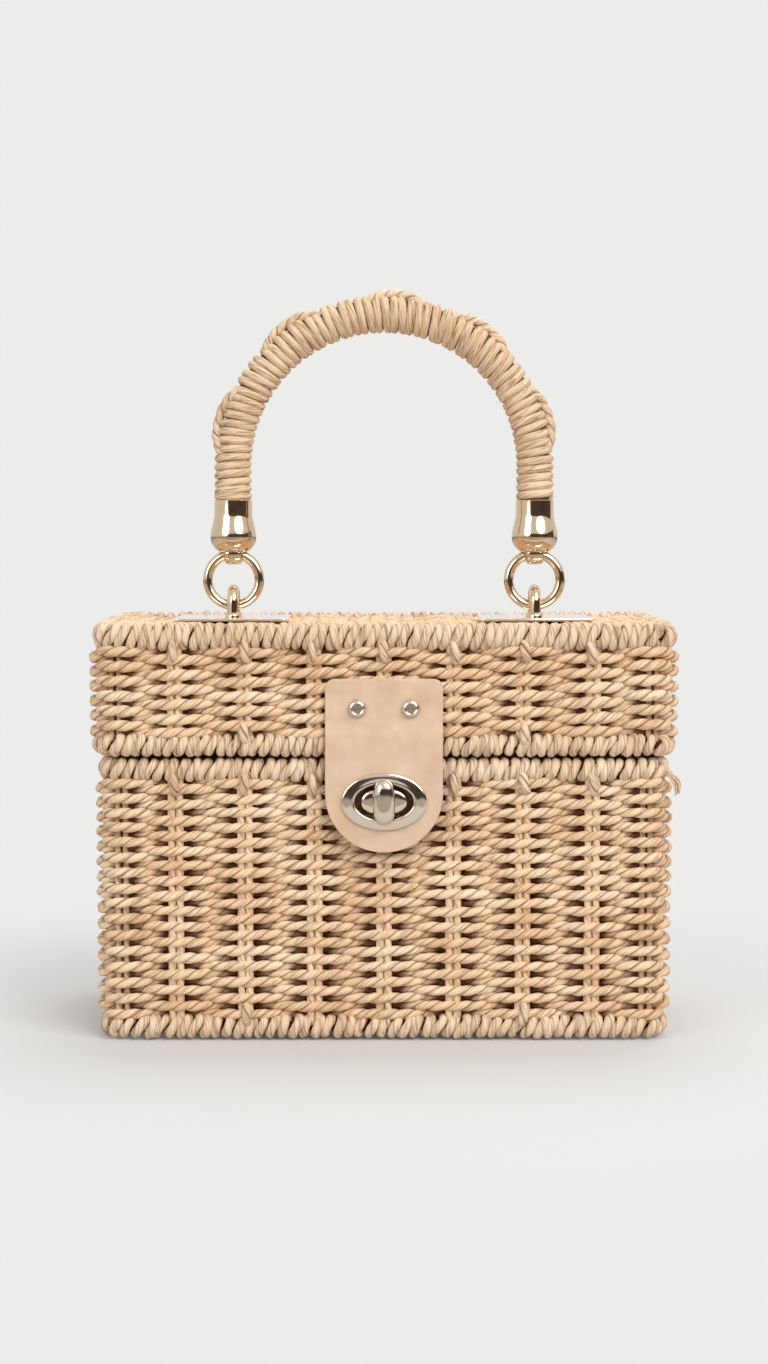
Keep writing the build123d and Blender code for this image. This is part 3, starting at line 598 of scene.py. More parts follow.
# %% Borders and rims
TURN_RADIUS, CORE_RADIUS = 2.02, 2.6
POINTS_PER_TURN, CORE_POINTS = 18, 160
COIL_HALF_DEPTH, COIL_BEND = 2.7, 6.0
# Shares of the cord's radius that stay within the CAD roll.
SEATED_OUT, SEATED_UP = 0.92, 0.88
LEAN, TIP, HOOK, SLACK = 0.08, 0.11, 0.10, 0.10
BULGE_OUT, BULGE_UP = 0.05, 0.03
# A direction of no length: the painted shade covers every side of the core.
ALL_ROUND = 0 * UP


def per_turn(angle, turns):
    """A random number for each turn, blended from one to the next."""
    marks = np.arange(turns + 1) * 2 * pi
    return np.interp(angle, marks, np.resize(rng.normal(0, 1, turns), turns + 1))


def whipping(name, node, body, pitch):
    """A coil round an edge. The leans and the slack are shares of its pitch."""
    low, high = box_mm(node)
    middle = (low[2] + high[2]) / 2
    tall = (high[2] - low[2]) / 2 - SEATED_UP * TURN_RADIUS
    outline = (*(high[:2] - COIL_HALF_DEPTH - SEATED_OUT * TURN_RADIUS), COIL_BEND)
    length = loop_length(*outline)
    turns = round(length / pitch)
    angle = np.arange(turns * POINTS_PER_TURN) * 2 * pi / POINTS_PER_TURN
    loose, tipped = per_turn(angle, turns), per_turn(angle, turns)
    lean = (LEAN + TIP * tipped) * np.sin(angle) + HOOK * np.sin(2 * angle)
    distance = length / turns * (angle / (2 * pi) + lean + SLACK * loose * np.cos(angle / 2) ** 2)
    points, outward = walk(*outline, distance)
    deep = COIL_HALF_DEPTH * np.cos(angle) * (1 + BULGE_OUT * loose)
    level = middle + tall * np.sin(angle) * (1 + BULGE_UP * loose)
    path = points + outward * deep[:, None] + UP * level[:, None]
    core = walk(*outline, np.linspace(0, length, CORE_POINTS, endpoint=False))[0] + UP * middle
    # The core is painted dark brown all over, as shade between the turns.
    runs = [(path, TURN_RADIUS * (1 + BULGE_OUT * loose)), (core, CORE_RADIUS, 1.0, ALL_ROUND)]
    piece = cord_piece(name, runs, body, closed=True, section=soft_section, material=bound_cord)
    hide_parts(node)


whipping("base_border_turns", "base_border", "basket", 4.2)
whipping("body_rim_turns", "body_rim", "basket", 4.0)
whipping("lid_rim_turns", "lid_rim", "lid", 4.0)
whipping("lid_top_border_turns", "lid_top_border", "lid", 3.9)


# %% [markdown]
# ## Frayed end
# One cord end of the body's rim has frayed at the front right corner. Hair particles could draw
# it, but a few thin fibres, each a short bent line, are enough.

# %% Frayed end
FIBRES, FIBRE_ROOT, FIBRE_TIP = 9, 0.42, 0.20
ROOT_SPREAD, TIP_SPREAD, BOW_SPREAD = 0.5, 1.0, (0.6, 1.2)
rim_low, rim_high = box_mm("body_rim")
fray_root = np.array([rim_high[0] - 2.2, rim_low[1] + 4.5, rim_low[2] + 3.5])
fray_tip = np.array([rim_high[0] + 1.6, rim_low[1] + 1.5, rim_low[2] - 3.2])
fray_bow = np.array([1.6, -0.8, 0.6])
share = np.linspace(0, 1, 7)
fibres = []
for _ in range(FIBRES):
    start = fray_root + rng.normal(0, ROOT_SPREAD, 3)
    end = fray_tip + rng.normal(0, TIP_SPREAD, 3)
    bow = fray_bow * rng.uniform(*BOW_SPREAD)
    path = start + np.outer(share, end - start) + np.outer(np.sin(pi * share), bow)
    fibres.append((path, FIBRE_ROOT + (FIBRE_TIP - FIBRE_ROOT) * share))
frayed = cord_piece("body_rim_frayed_end", fibres, "basket", section=round_section, material=bound_cord)
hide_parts("body_rim")


# %% [markdown]
# ## Ties
# Under each stake a short cord hooks from the whipped edge over the first row and back into the
# weave. It is a bent stub, so a few points along a hook are enough: how far out of the weave it
# is, and how far past the edge.

# %% Ties at the edges
TIE_OUT = [2.8, 4.6, 4.9, 4.5, 3.6, 1.2]
TIE_DROP = [-2.8, -1.9, 0.0, 1.8, 3.0, 3.8]
TIE_POINTS, TIE_RADIUS = 12, 1.85
TIE_LEAN, TIE_SHIFT = (-0.5, 0.9), 0.6


def ties(name, body, outline, edge, toward, picks):
    """Hooks from an edge at height edge, reaching up (toward 1) or down (toward -1) over the weave."""
    marks = stake_marks(*outline)
    places = np.linspace(0, len(TIE_OUT) - 1, TIE_POINTS)
    out, drop = (np.interp(places, range(len(TIE_OUT)), column) for column in (TIE_OUT, TIE_DROP))
    runs = []
    for pick in picks:
        lean = rng.uniform(*TIE_LEAN) * np.linspace(-1, 1, TIE_POINTS)
        snug = ROW_REACH[1] - ROW_REACH[0] if pick % HALF_ROUND >= FRONT_STAKES else 0.0
        spot, outward = walk(*outline, marks[pick] + rng.uniform(-TIE_SHIFT, TIE_SHIFT) + lean)
        path = spot + outward * (out - snug)[:, None] + UP * (edge + toward * drop)[:, None]
        runs.append((path, TIE_RADIUS))
    cord_piece(name, runs, body, material=bound_cord)


inner_stakes = [k for k in range(2 * HALF_ROUND) if k not in CORNER_STAKES]
some_stakes = [2, 6, 10, 15, 19, 24]
ties("lid_top_ties", "lid", lid_outline, lid_high[2], -1, inner_stakes)
ties("lid_rim_ties", "lid", lid_outline, lid_low[2], 1, some_stakes)
ties("body_rim_ties", "basket", body_outline, wall_high[2], -1, inner_stakes)
ties("base_border_ties", "basket", body_outline, wall_low[2], 1, some_stakes)


# %% [markdown]
# ## Hinge lashings
# The lid turns on three loops of cord at the back, each a double turn round both rims. A loop
# round two parallel rolls is two half circles joined by straights. Two arcs give its corners,
# and points at even distances along it let the twist run evenly too.

# %% Lashings
LASHING_MID, LASHING_RADIUS, LASHING_LAY_MM = 6.15, 1.15, 9.0
LASHING_PLACES, LASHING_PAIR = (-68.0, 0.0, 68.0), (-1.3, 1.3)
LASHING_POINTS = 48
ROLL_HALF = 4.0
lid_roll, body_roll = (np.array([high[1] - ROLL_HALF, (low[2] + high[2]) / 2])
                       for low, high in (box_mm("lid_rim"), box_mm("body_rim")))


def evenly(line, count):
    """Points at even distances along a closed line, whose last point repeats its first."""
    marks = np.concatenate([[0], np.cumsum(np.linalg.norm(np.diff(line, axis=0), axis=1))])
    even = np.linspace(0, marks[-1], count, endpoint=False)
    return np.column_stack([np.interp(even, marks, column) for column in line.T])


def lashing_runs():
    across = lid_roll - body_roll
    lead = np.arctan2(across[1], across[0])
    half_turn = lead + np.linspace(-pi / 2, pi / 2, 11)
    arcs = [roll + LASHING_MID * np.column_stack([np.cos(turn), np.sin(turn)])
            for roll, turn in ((lid_roll, half_turn), (body_roll, half_turn + pi))]
    y, z = evenly(np.concatenate([*arcs, arcs[0][:1]]), LASHING_POINTS).T
    return [(np.column_stack([np.full_like(y, centre + side), y, z]), LASHING_RADIUS)
            for centre in LASHING_PLACES for side in LASHING_PAIR]


lashings = cord_piece("hinge_lashing_cords", lashing_runs(), "basket", closed=True, lay=LASHING_LAY_MM)
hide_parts("hinge_lashings")


# %% [markdown]
# ## Handle
# The same cord is wound tightly round a bent rod. The path is two straight legs and a half
# circle, and one coil turns about it. Separate rings would be simpler, but on the real arch the
# turns ride over each other here and there, which a wave in the coil's advance gives.

# %% The handle's line
BOX_TOP = box_mm("left_plate")[1][2]
ARCH_RADIUS = 59.5
LEG_BASE = BOX_TOP + 46.0
ARCH_HEIGHT = LEG_BASE + 13.2
LEG = ARCH_HEIGHT - LEG_BASE
HANDLE_LENGTH = 2 * LEG + pi * ARCH_RADIUS


def handle_path(distance):
    """Points on the handle's centre line and the directions that face out of the arch."""
    marks = [0, LEG, LEG + pi * ARCH_RADIUS, HANDLE_LENGTH]
    bearing = np.interp(distance, marks, [pi, pi, 0, 0])
    centre = np.interp(distance, marks, [LEG_BASE, ARCH_HEIGHT, ARCH_HEIGHT, LEG_BASE])
    outward = np.column_stack([np.cos(bearing), np.zeros_like(bearing), np.sin(bearing)])
    return ARCH_RADIUS * outward + UP * centre[:, None], outward


print(f"handle between the ferrules: {HANDLE_LENGTH:.1f} mm")

# %% Handle wrap
WRAP_PITCH, WRAP_MID, WRAP_RADIUS, WRAP_LAY_MM = 3.25, 5.8, 1.70, 55.0
WRAP_POINTS_PER_TURN = 16
# The wave in the coil's advance, the calm length at each end and the length over which it grows.
CROSSING, CALM_END, CALM_EASE = 0.48, 22, 25
CALM_LEAST, END_ROOM = 0.1, 1.4
# How much the turns differ from one another in their wave, their place and their thickness.
CROSSING_SPREAD, PLACE_SPREAD, THICK_SPREAD = 0.35, 0.15, 0.03
FRONT = np.array([0.0, -1.0, 0.0])


def wrap_run():
    """One coil along the handle, calm near the ferrules and looser on the arch."""
    turns = round(HANDLE_LENGTH / WRAP_PITCH)
    angle = np.linspace(0, 2 * pi * turns, turns * WRAP_POINTS_PER_TURN)
    loose = np.interp(angle, np.arange(turns + 2) * 2 * pi, rng.normal(0, 1, turns + 2))
    even = angle / (2 * pi * turns) * HANDLE_LENGTH
    past_end = np.minimum(even - CALM_END, HANDLE_LENGTH - CALM_END - even)
    bent = np.clip(past_end / CALM_EASE, CALM_LEAST, 1)
    crossed = CROSSING * bent * np.cos(angle / 2 + pi / 4) * (1 + CROSSING_SPREAD * loose)
    advance = np.clip(even + PLACE_SPREAD * loose + crossed, END_ROOM, HANDLE_LENGTH - END_ROOM)
    centre, outward = handle_path(advance)
    path = centre + WRAP_MID * (outward * np.cos(angle)[:, None] + FRONT * np.sin(angle)[:, None])
    return path, WRAP_RADIUS * (1 + THICK_SPREAD * loose)


wrap = cord_piece("handle_wrap_turns", [wrap_run()], "handle", lay=WRAP_LAY_MM, section=round_section,
                  material=bound_cord)
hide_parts("handle_wrap")


# %% [markdown]
# ## Handle lacing
# A thicker strand rides on the wrap and shows as five humps where it comes up between the turns.
# Only the humps can be seen, so each is a short cord of its own: an arc about the arch whose ends
# turn to the front and sink under the wrap.

# %% Handle lacing
HUMPS = [(7, 25), (46, 64), (87, 101), (119, 135), (154, 172)]
HUMP_ENDS, HUMP_POINTS = 3, 18
HUMP_TURN = np.radians(40)
SUNK_REACH, HUMP_RISE = 5.2, 2.7
LACING_RADIUS, LACING_SWELL, LACING_LAY_MM = 1.9, 0.4, 11.0


def lacing_run(first, last):
    """A hump from one angle on the arch to another, in degrees."""
    share = np.linspace(0, 1, HUMP_POINTS)
    bearing = pi - np.radians(first + (last - first) * share)
    hump = np.sin(pi * share)
    turned = HUMP_TURN * (1 - hump)
    reach = SUNK_REACH + HUMP_RISE * hump ** 0.6
    radial = np.column_stack([np.cos(bearing), np.zeros(HUMP_POINTS), np.sin(bearing)])
    outer = (ARCH_RADIUS + reach * np.cos(turned))[:, None] * radial
    forward = FRONT * (reach * np.sin(turned))[:, None]
    return outer + forward + UP * ARCH_HEIGHT, LACING_RADIUS + LACING_SWELL * hump


lacing_runs = [lacing_run(first - HUMP_ENDS, last + HUMP_ENDS) for first, last in HUMPS]
lacing = cord_piece("handle_lacing_humps", lacing_runs, "handle", lay=LACING_LAY_MM, material=bound_cord)
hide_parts("handle_lacing")
for shape in (plied_section, soft_section, round_section):
    bpy.data.objects.remove(shape)


# %% [markdown]
# ## Polished metal
# The fittings are plated a pale rose gold and polished. A mirror finish is never perfect: a faint
# cloud in the roughness keeps reflections soft in places. Bright metal shows its surroundings,
# so the colour is set pale and the studio does the rest.

# %% Metal materials
CLOUD_MM = 6


def metal_material(name, colour, roughness):
    material, tree, shader = new_material(name)
    place = add(tree, "ShaderNodeTexCoord").outputs["Object"]
    cloud = add(tree, "ShaderNodeTexNoise", values={"Scale": 1 / (CLOUD_MM * MM), "Detail": 5.0},
                links={"Vector": place})
    rough = add(tree, "ShaderNodeMapRange", values={"To Min": 0.6 * roughness, "To Max": 1.5 * roughness},
                links={"Value": cloud.outputs["Fac"]})
    tree.links.new(rough.outputs["Result"], shader.inputs["Roughness"])
    shader.inputs["Base Color"].default_value = linear(colour)
    shader.inputs["Metallic"].default_value = 1.0
    return material


# Wire and turned pieces are warm, the lock is paler, and the rolled sheet is a clear mirror.
rose_gold = metal_material("rose_gold_polished", "#D9C1A3", 0.10)
pale_gold = metal_material("pale_gold_polished", "#D9CBB9", 0.09)
plate_gold = metal_material("pale_gold_mirror", "#F4ECE4", 0.05)
print("metals:", rose_gold.name, pale_gold.name, plate_gold.name)


# %% [markdown]
# ## Leather
# The tab is thick, smooth leather with a satin finish. The eye sees a nude tone that is mottled
# a little, and soft swells in the light where the strip isn't quite flat. Real grain is finer
# than a picture of the whole bag can show, so it is drawn as coarse as it needs to be.

# %% Leather material
GRAIN_MM, MOTTLE_MM, SWELL_MM = 0.9, 11, 9


def leather_material(name, colour, deep):
    material, tree, shader = new_material(name)
    place = add(tree, "ShaderNodeTexCoord").outputs["Object"]
    grain = add(tree, "ShaderNodeTexVoronoi", {"feature": "DISTANCE_TO_EDGE"},
                {"Scale": 1 / (GRAIN_MM * MM)}, {"Vector": place}).outputs["Distance"]
    mottle = add(tree, "ShaderNodeTexNoise", values={"Scale": 1 / (MOTTLE_MM * MM), "Detail": 3.0},
                 links={"Vector": place}).outputs["Fac"]
    swell = add(tree, "ShaderNodeTexNoise", values={"Scale": 1 / (SWELL_MM * MM), "Detail": 1.0},
                links={"Vector": place}).outputs["Fac"]
    shade = add(tree, "ShaderNodeValToRGB", links={"Fac": mottle}, stops=[(0.25, deep), (0.75, colour)])
    soft = add(tree, "ShaderNodeBump", values={"Strength": 0.6, "Distance": 1.8 * MM},
               links={"Height": swell})
    bump = add(tree, "ShaderNodeBump", values={"Strength": 0.12, "Distance": 0.08 * MM},
               links={"Height": grain, "Normal": soft.outputs["Normal"]})
    tree.links.new(shade.outputs["Color"], shader.inputs["Base Color"])
    tree.links.new(bump.outputs["Normal"], shader.inputs["Normal"])
    shader.inputs["Roughness"].default_value = 0.36
    shader.inputs["Specular IOR Level"].default_value = 0.5
    return material


tan_leather = leather_material("leather_smooth_nude", "#DABEA4", "#CBA98B")
print("leather:", tan_leather.name)


# %% [markdown]
# ## Plain finishes
# Three materials hardly show and need no pattern: the lacquer inside the lock, a dark red-brown
# with a soft gloss, the dull grey zinc on the washers and strips, and the matt brown plastic of
# the rod in the handle.

# %% Plain materials
def plain_material(name, colour, roughness, metallic=0.0):
    material, _, shader = new_material(name)
    shader.inputs["Base Color"].default_value = linear(colour)
    shader.inputs["Roughness"].default_value = roughness
    shader.inputs["Metallic"].default_value = metallic
    return material


red_lacquer = plain_material("steel_lacquered_red_brown", "#6B3524", 0.35)
plain_steel = plain_material("steel_plain_zinc", "#B9B9B6", 0.38, 1.0)
core_plastic = plain_material("plastic_core_brown", "#4A3726", 0.6)
print("plain:", red_lacquer.name, plain_steel.name, core_plastic.name)


# %% [markdown]
# ## Ferrules and rings
# Turned pieces are profiles spun about an axis: the cup that holds the handle's end, the eye
# under it, which lies across, and the ring of round wire that hangs in the eye. A stack of
# cylinders would need its steps smoothed, and a spun profile has its curves at once.

# %% Turned metal
WELD = 0.002 * MM
SHARP_DEGREES = 40


def spun(shape, profile, centre, axis, start, segments=48):
    """Spins a profile of (radius, height) pairs, in millimetres, about an axis."""
    axis, start, centre = Vector(axis), Vector(start), Vector(centre) * MM
    points = [shape.verts.new(centre + start * r * MM + axis * h * MM) for r, h in profile]
    edges = [shape.edges.new(pair) for pair in zip(points, points[1:])]
    bmesh.ops.spin(shape, geom=points + edges, cent=centre, axis=axis, angle=2 * pi, steps=segments,
                   use_merge=True)


def metal_piece(name, shape, body, nodes, material=rose_gold,
                smooth=SHARP_DEGREES):
    """Cleans a built shape and puts it in place of its CAD nodes."""
    bmesh.ops.remove_doubles(shape, verts=shape.verts, dist=WELD)
    bmesh.ops.recalc_face_normals(shape, faces=shape.faces)
    mesh = bpy.data.meshes.new(name)
    shape.to_mesh(mesh)
    shape.free()
    piece = finish_piece(name, mesh, body, material)
    mesh.set_sharp_from_angle(angle=radians(smooth))
    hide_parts(*nodes)
    return piece


print("edges stay sharp over", SHARP_DEGREES, "degrees")

# %% Ferrules and rings
FERRULE = [(0, 46.0), (7.3, 46.0), (7.5, 45.8), (7.5, 40.4), (7.55, 39.6), (7.75, 38.4), (8.2, 36.6),
           (8.7, 34.6), (9.0, 33.0), (9.1, 31.8), (9.0, 30.6), (8.7, 29.4), (8.1, 28.2), (7.2, 27.0),
           (6.2, 26.1), (5.2, 25.6), (0, 25.6)]
EYE_LOOP = [(2.7, -2.6), (2.9, -3.0), (3.3, -3.3), (3.7, -3.1), (4.0, -2.5), (4.15, -1.2), (4.2, 0),
            (4.15, 1.2), (4.0, 2.5), (3.7, 3.1), (3.3, 3.3), (2.9, 3.0), (2.7, 2.6), (2.7, -2.6)]
EYE_HEIGHT, RING_HEIGHT = BOX_TOP + 24.8, BOX_TOP + 14.6
RING_RADIUS, RING_WIRE = 10.2, 1.9
SIDES = (("left", -ARCH_RADIUS), ("right", ARCH_RADIUS))
X_AXIS, Y_AXIS, Z_AXIS = (1, 0, 0), (0, 1, 0), (0, 0, 1)
wire = [(RING_RADIUS + RING_WIRE * cos(t), RING_WIRE * sin(t)) for t in np.linspace(0, 2 * pi, 17)]
for side, place in SIDES:
    ferrule = bmesh.new()
    spun(ferrule, FERRULE, (place, 0, BOX_TOP), Z_AXIS, X_AXIS)
    spun(ferrule, EYE_LOOP, (place, 0, EYE_HEIGHT), X_AXIS, Z_AXIS)
    metal_piece(f"{side}_ferrule_turned", ferrule, "handle", [f"{side}_ferrule"])
    ring = bmesh.new()
    spun(ring, wire, (place, 0, RING_HEIGHT), Y_AXIS, Z_AXIS, 64)
    metal_piece(f"{side}_ring_wire", ring, f"{side}_ring", [f"{side}_ring"])


# %% [markdown]
# ## Staples and plates
# Each ring hangs in a staple of bent wire with flared feet. The wire is a circle carried along:
# drawn up a leg, spun over the bend and drawn down again. A bevelled curve would do, but this way
# the legs and the bend share their rings of points. The plate under it is cut sheet: a block
# whose upright edges are rounded first and whose rims are then eased.

# %% Staples
STAPLE_BEND, STAPLE_WIRE = 4.75, 2.25
STAPLE_SPRING = BOX_TOP + 5.8
STAPLE_FOOT = [(2.2, 1.9), (2.5, 1.5), (2.9, 1.2), (3.1, 0.8), (3.1, 0), (2.2, 0)]


def drawn_out(shape, faces, move):
    """Extrudes faces and moves what is new. Gives the new points and the new faces."""
    grown = bmesh.ops.extrude_face_region(shape, geom=faces)["geom"]
    points, ends = ([part for part in grown if isinstance(part, kind)]
                    for kind in (bmesh.types.BMVert, bmesh.types.BMFace))
    bmesh.ops.translate(shape, verts=points, vec=move)
    return points, ends


def staple_wire(side, place):
    staple = bmesh.new()
    low = box_mm(f"{side}_staple")[0]
    rise = (STAPLE_SPRING - low[2]) * MM
    foot = Matrix.Translation(Vector((place, -STAPLE_BEND, low[2])) * MM)
    loop = bmesh.ops.create_circle(staple, cap_ends=True, segments=24, radius=STAPLE_WIRE * MM,
                                   matrix=foot)
    _, top = drawn_out(staple, list(loop["verts"][0].link_faces), (0, 0, rise))
    bent = bmesh.ops.spin(staple, geom=top + list(top[0].edges) + list(top[0].verts), axis=(-1, 0, 0),
                          cent=Vector((place, 0, STAPLE_SPRING)) * MM, angle=pi, steps=20)["geom_last"]
    drawn_out(staple, [part for part in bent if isinstance(part, bmesh.types.BMFace)], (0, 0, -rise))
    for leg in (-STAPLE_BEND, STAPLE_BEND):
        spun(staple, STAPLE_FOOT, (place, leg, BOX_TOP), Z_AXIS, X_AXIS, 24)
    metal_piece(f"{side}_staple_wire", staple, "lid", [f"{side}_staple"])


print(f"staples: {2 * STAPLE_BEND} mm from leg to leg")

# %% Plates, and both sides
PLATE_CORNER, PLATE_RIM = 1.5, 0.25
ROUNDING = {"profile": 0.5, "affect": "EDGES", "material": -1}


def plate_sheet(side):
    plate = bmesh.new()
    low, high = box_mm(f"{side}_plate")
    size = Matrix.Diagonal((*((high - low) * MM), 1))
    middle = Matrix.Translation(Vector((low + high) / 2) * MM)
    bmesh.ops.create_cube(plate, size=1, matrix=middle @ size)
    upright = [e for e in plate.edges if abs(e.verts[0].co.z - e.verts[1].co.z) > 0.5 * MM]
    bmesh.ops.bevel(plate, geom=upright, offset=PLATE_CORNER * MM, segments=5, **ROUNDING)
    rims = [e for e in plate.edges if abs(e.calc_face_angle(0)) > radians(60)]
    bmesh.ops.bevel(plate, geom=rims, offset=PLATE_RIM * MM, segments=2, **ROUNDING)
    metal_piece(f"{side}_plate_sheet", plate, "lid", [f"{side}_plate"], plate_gold, smooth=30)


for side, place in SIDES:
    staple_wire(side, place)
    plate_sheet(side)


# %% [markdown]
# ## Turn lock
# The bezel, the boss and the knob are ovals stacked along the line of sight. A grid wrapped round
# them, one row of points for each oval, gives every slope and lip its own ring of faces. Bridging
# circles would do it too, but twists where two lie at one depth. A squarer power turns the oval
# into the round-ended bar of the knob.

# %% Oval pieces
LOCK_HEIGHT = sum(box_mm("clasp_bezel"))[2] / 2
OVAL_SEGMENTS = 72


def ovals(shape, loops, power=2.0):
    """A skin over a chain of (half width, half height, depth) ovals. No size closes an end."""
    steps = len(loops) - 1
    made = bmesh.ops.create_grid(shape, x_segments=OVAL_SEGMENTS, y_segments=steps, size=0.5)["verts"]
    for vert in made:
        turn = 2 * pi * (vert.co.x + 0.5)
        half_x, half_z, depth = loops[round((vert.co.y + 0.5) * steps)]
        x, z = (half * np.sign(c) * abs(c) ** (2 / power)
                for half, c in ((half_x, cos(turn)), (half_z, sin(turn))))
        vert.co = Vector((x, depth, LOCK_HEIGHT + z)) * MM


print(f"middle of the lock: {LOCK_HEIGHT:.1f} mm up")


# %% [markdown]
# ## Bezel, boss and knob
# The bezel is a stamped oval frame whose face slopes up to a rolled lip. The boss stands in it
# on a flange with two prongs, gilt at its face and lacquered further back. The knob is a rounded
# bar on a shaft whose end is riveted. Each is one list of ovals, in the order in which its skin
# runs over them.

# %% Bezel
BEZEL = [(16.1, 10.9, -57.4), (16.1, 10.9, -57.9), (15.95, 10.75, -58.25), (15.6, 10.45, -58.5),
         (15.2, 10.1, -58.6), (14.0, 9.1, -58.75), (12.6, 7.95, -58.98), (12.1, 7.55, -59.1),
         (11.7, 7.25, -59.1), (11.35, 6.98, -58.95), (11.05, 6.75, -58.6), (10.85, 6.58, -58.1),
         (10.75, 6.5, -57.4), (16.1, 10.9, -57.4)]
bezel = bmesh.new()
ovals(bezel, BEZEL)
metal_piece("clasp_bezel_oval", bezel, "lid", ["clasp_bezel"], pale_gold)

# %% Boss
BOSS = [(0, 0, -51.4), (13.0, 6.0, -51.4), (13.0, 6.0, -53.1), (12.8, 5.8, -53.3), (8.75, 5.1, -53.3),
        (8.65, 5.0, -53.5), (8.65, 5.0, -56.9), (8.55, 4.9, -57.4), (8.2, 4.6, -57.75), (7.4, 4.1, -57.95),
        (5.8, 3.3, -58.1), (3.8, 2.6, -58.2), (0, 0, -58.2)]
PRONG, PRONG_PLACE, PRONG_ROOT = [(1.0, 0), (1.0, 6.0)], 9.5, -51.6
LACQUER_FROM = -56.5
boss = bmesh.new()
ovals(boss, BOSS, power=2.3)
for prong in (-PRONG_PLACE, PRONG_PLACE):
    spun(boss, PRONG, (prong, PRONG_ROOT, LOCK_HEIGHT), Y_AXIS, X_AXIS, 16)
boss_piece = metal_piece("lock_boss_oval", boss, "basket", ["lock_base"], pale_gold)
boss_piece.data.materials.append(red_lacquer)
for face in boss_piece.data.polygons:
    face.material_index = int(face.center.y > LACQUER_FROM * MM)

# %% Knob
KNOB = [(0, 0, -59.7), (3.5, 7.8, -59.7), (4.0, 8.3, -59.9), (4.2, 8.5, -60.4), (4.2, 8.5, -60.9),
        (4.05, 8.35, -61.6), (3.7, 8.0, -62.3), (3.1, 7.3, -62.9), (2.4, 6.3, -63.3), (1.6, 5.0, -63.55),
        (0.8, 3.2, -63.67), (0, 0, -63.7)]
KNOB_SHAFT = [(2.0, -59.8), (2.0, -45.3), (3.0, -45.2), (3.0, -44.2), (0, -44.2)]
knob = bmesh.new()
ovals(knob, KNOB, power=2.6)
spun(knob, KNOB_SHAFT, (0, 0, LOCK_HEIGHT), Y_AXIS, X_AXIS, 32)
metal_piece("lock_knob_bar", knob, "knob", ["lock_knob"], pale_gold)


# %% [markdown]
# ## Tab screws
# Each screw looks like an eyelet with a small slotted head sunk in it: a domed ring, a recess,
# and a cross cut in the floor of the recess. A boolean could cut the cross. Here it is five
# squares of a grid, pushed in, which leaves clean faces.

# %% Screws
SCREW_DOME = [(3.45, 0.0), (3.45, -0.35), (3.3, -0.9), (3.0, -1.4), (2.6, -1.75), (2.25, -1.88),
              (2.0, -1.8), (1.85, -1.5), (1.85, -0.9)]
SCREW_SHANK = [(1.2, 0.0), (1.2, 9.0), (0, 9.0)]
SCREW_PLACE, SCREW_SEAT, RECESS_DEPTH = 10.0, -55.6, 1.25
CROSS_REACH, CROSS_HALF_WIDTH, CROSS_DEPTH = 1.95, 0.75, 0.7
screw_z = sum(box_mm("tab_screws"))[2] / 2


def slotted_floor(shape, stand):
    """The floor of the recess, made flat on the ground and then stood up."""
    grid = bmesh.ops.create_grid(shape, x_segments=3, y_segments=3, size=1.0)["verts"]
    middles = {face: face.calc_center_median() for vert in grid for face in vert.link_faces}
    cross = [face for face, middle in middles.items() if min(abs(middle.x), abs(middle.y)) < 0.1]
    for vert in grid:
        vert.co.x, vert.co.y = (c * (CROSS_REACH if abs(c) > 0.5 else CROSS_HALF_WIDTH)
                                for c in (vert.co.x, vert.co.y))
    sunk, _ = drawn_out(shape, cross, (0, 0, -CROSS_DEPTH))
    bmesh.ops.delete(shape, geom=cross, context="FACES_ONLY")
    bmesh.ops.transform(shape, matrix=stand @ Matrix.Diagonal((MM, MM, MM, 1)), verts=grid + sunk)


screws = bmesh.new()
for place in (-SCREW_PLACE, SCREW_PLACE):
    spun(screws, SCREW_DOME, (place, SCREW_SEAT, screw_z), Y_AXIS, X_AXIS, 40)
    spun(screws, SCREW_SHANK, (place, SCREW_SEAT, screw_z), Y_AXIS, X_AXIS, 16)
    floor_place = Vector((place, SCREW_SEAT - RECESS_DEPTH, screw_z)) * MM
    slotted_floor(screws, Matrix.Translation(floor_place) @ Matrix.Rotation(pi / 2, 4, "X"))
metal_piece("tab_screw_heads", screws, "lid", ["tab_screws"], pale_gold, smooth=35)


# %% [markdown]
# ## Leather tab
# A thick strip of smooth leather, cut with a round end and an oval hole under the bezel. Rings of
# points between the hole and the outline give faces that follow both. Each point then goes to
# its depth, since the tab steps out over the rims, and Solidify and Bevel give it body and its
# soft cut edge.

# %% The tab's outline and depth
TAB_POINTS = 144
TAB_HALF, TAB_CORNER = 22.0, 3.5
TAB_BACK, TAB_STEP, TAB_STEP_HEIGHT = -53.1, 1.8, 7.5
BEND_TOP = screw_z - 4.2
tab_low, tab_high = box_mm("clasp_tab")
TAB_TOP, TAB_ROUND = tab_high[2], tab_low[2] + TAB_HALF


def tab_outline():
    """The round end below, the straight sides and the two small corners above."""
    turn = np.linspace(-pi, 0, 60)
    low = np.column_stack([TAB_HALF * np.cos(turn), TAB_ROUND + TAB_HALF * np.sin(turn)])
    bend = np.linspace(0, pi / 2, 10)
    inner, shoulder = TAB_HALF - TAB_CORNER, TAB_TOP - TAB_CORNER
    right = np.column_stack([inner + TAB_CORNER * np.cos(bend), shoulder + TAB_CORNER * np.sin(bend)])
    left = np.column_stack([-inner - TAB_CORNER * np.sin(bend), shoulder + TAB_CORNER * np.cos(bend)])
    return evenly(np.concatenate([low, right, left, low[:1]]), TAB_POINTS)


def tab_depth(z):
    """The back of the tab: on the lid wall above, stepping out over the rims below."""
    share = np.clip((BEND_TOP - z) / TAB_STEP_HEIGHT, 0, 1)
    return TAB_BACK - TAB_STEP * share * share * (3 - 2 * share)


print(f"tab: {2 * TAB_HALF:.0f} by {tab_high[2] - tab_low[2]:.1f} mm")

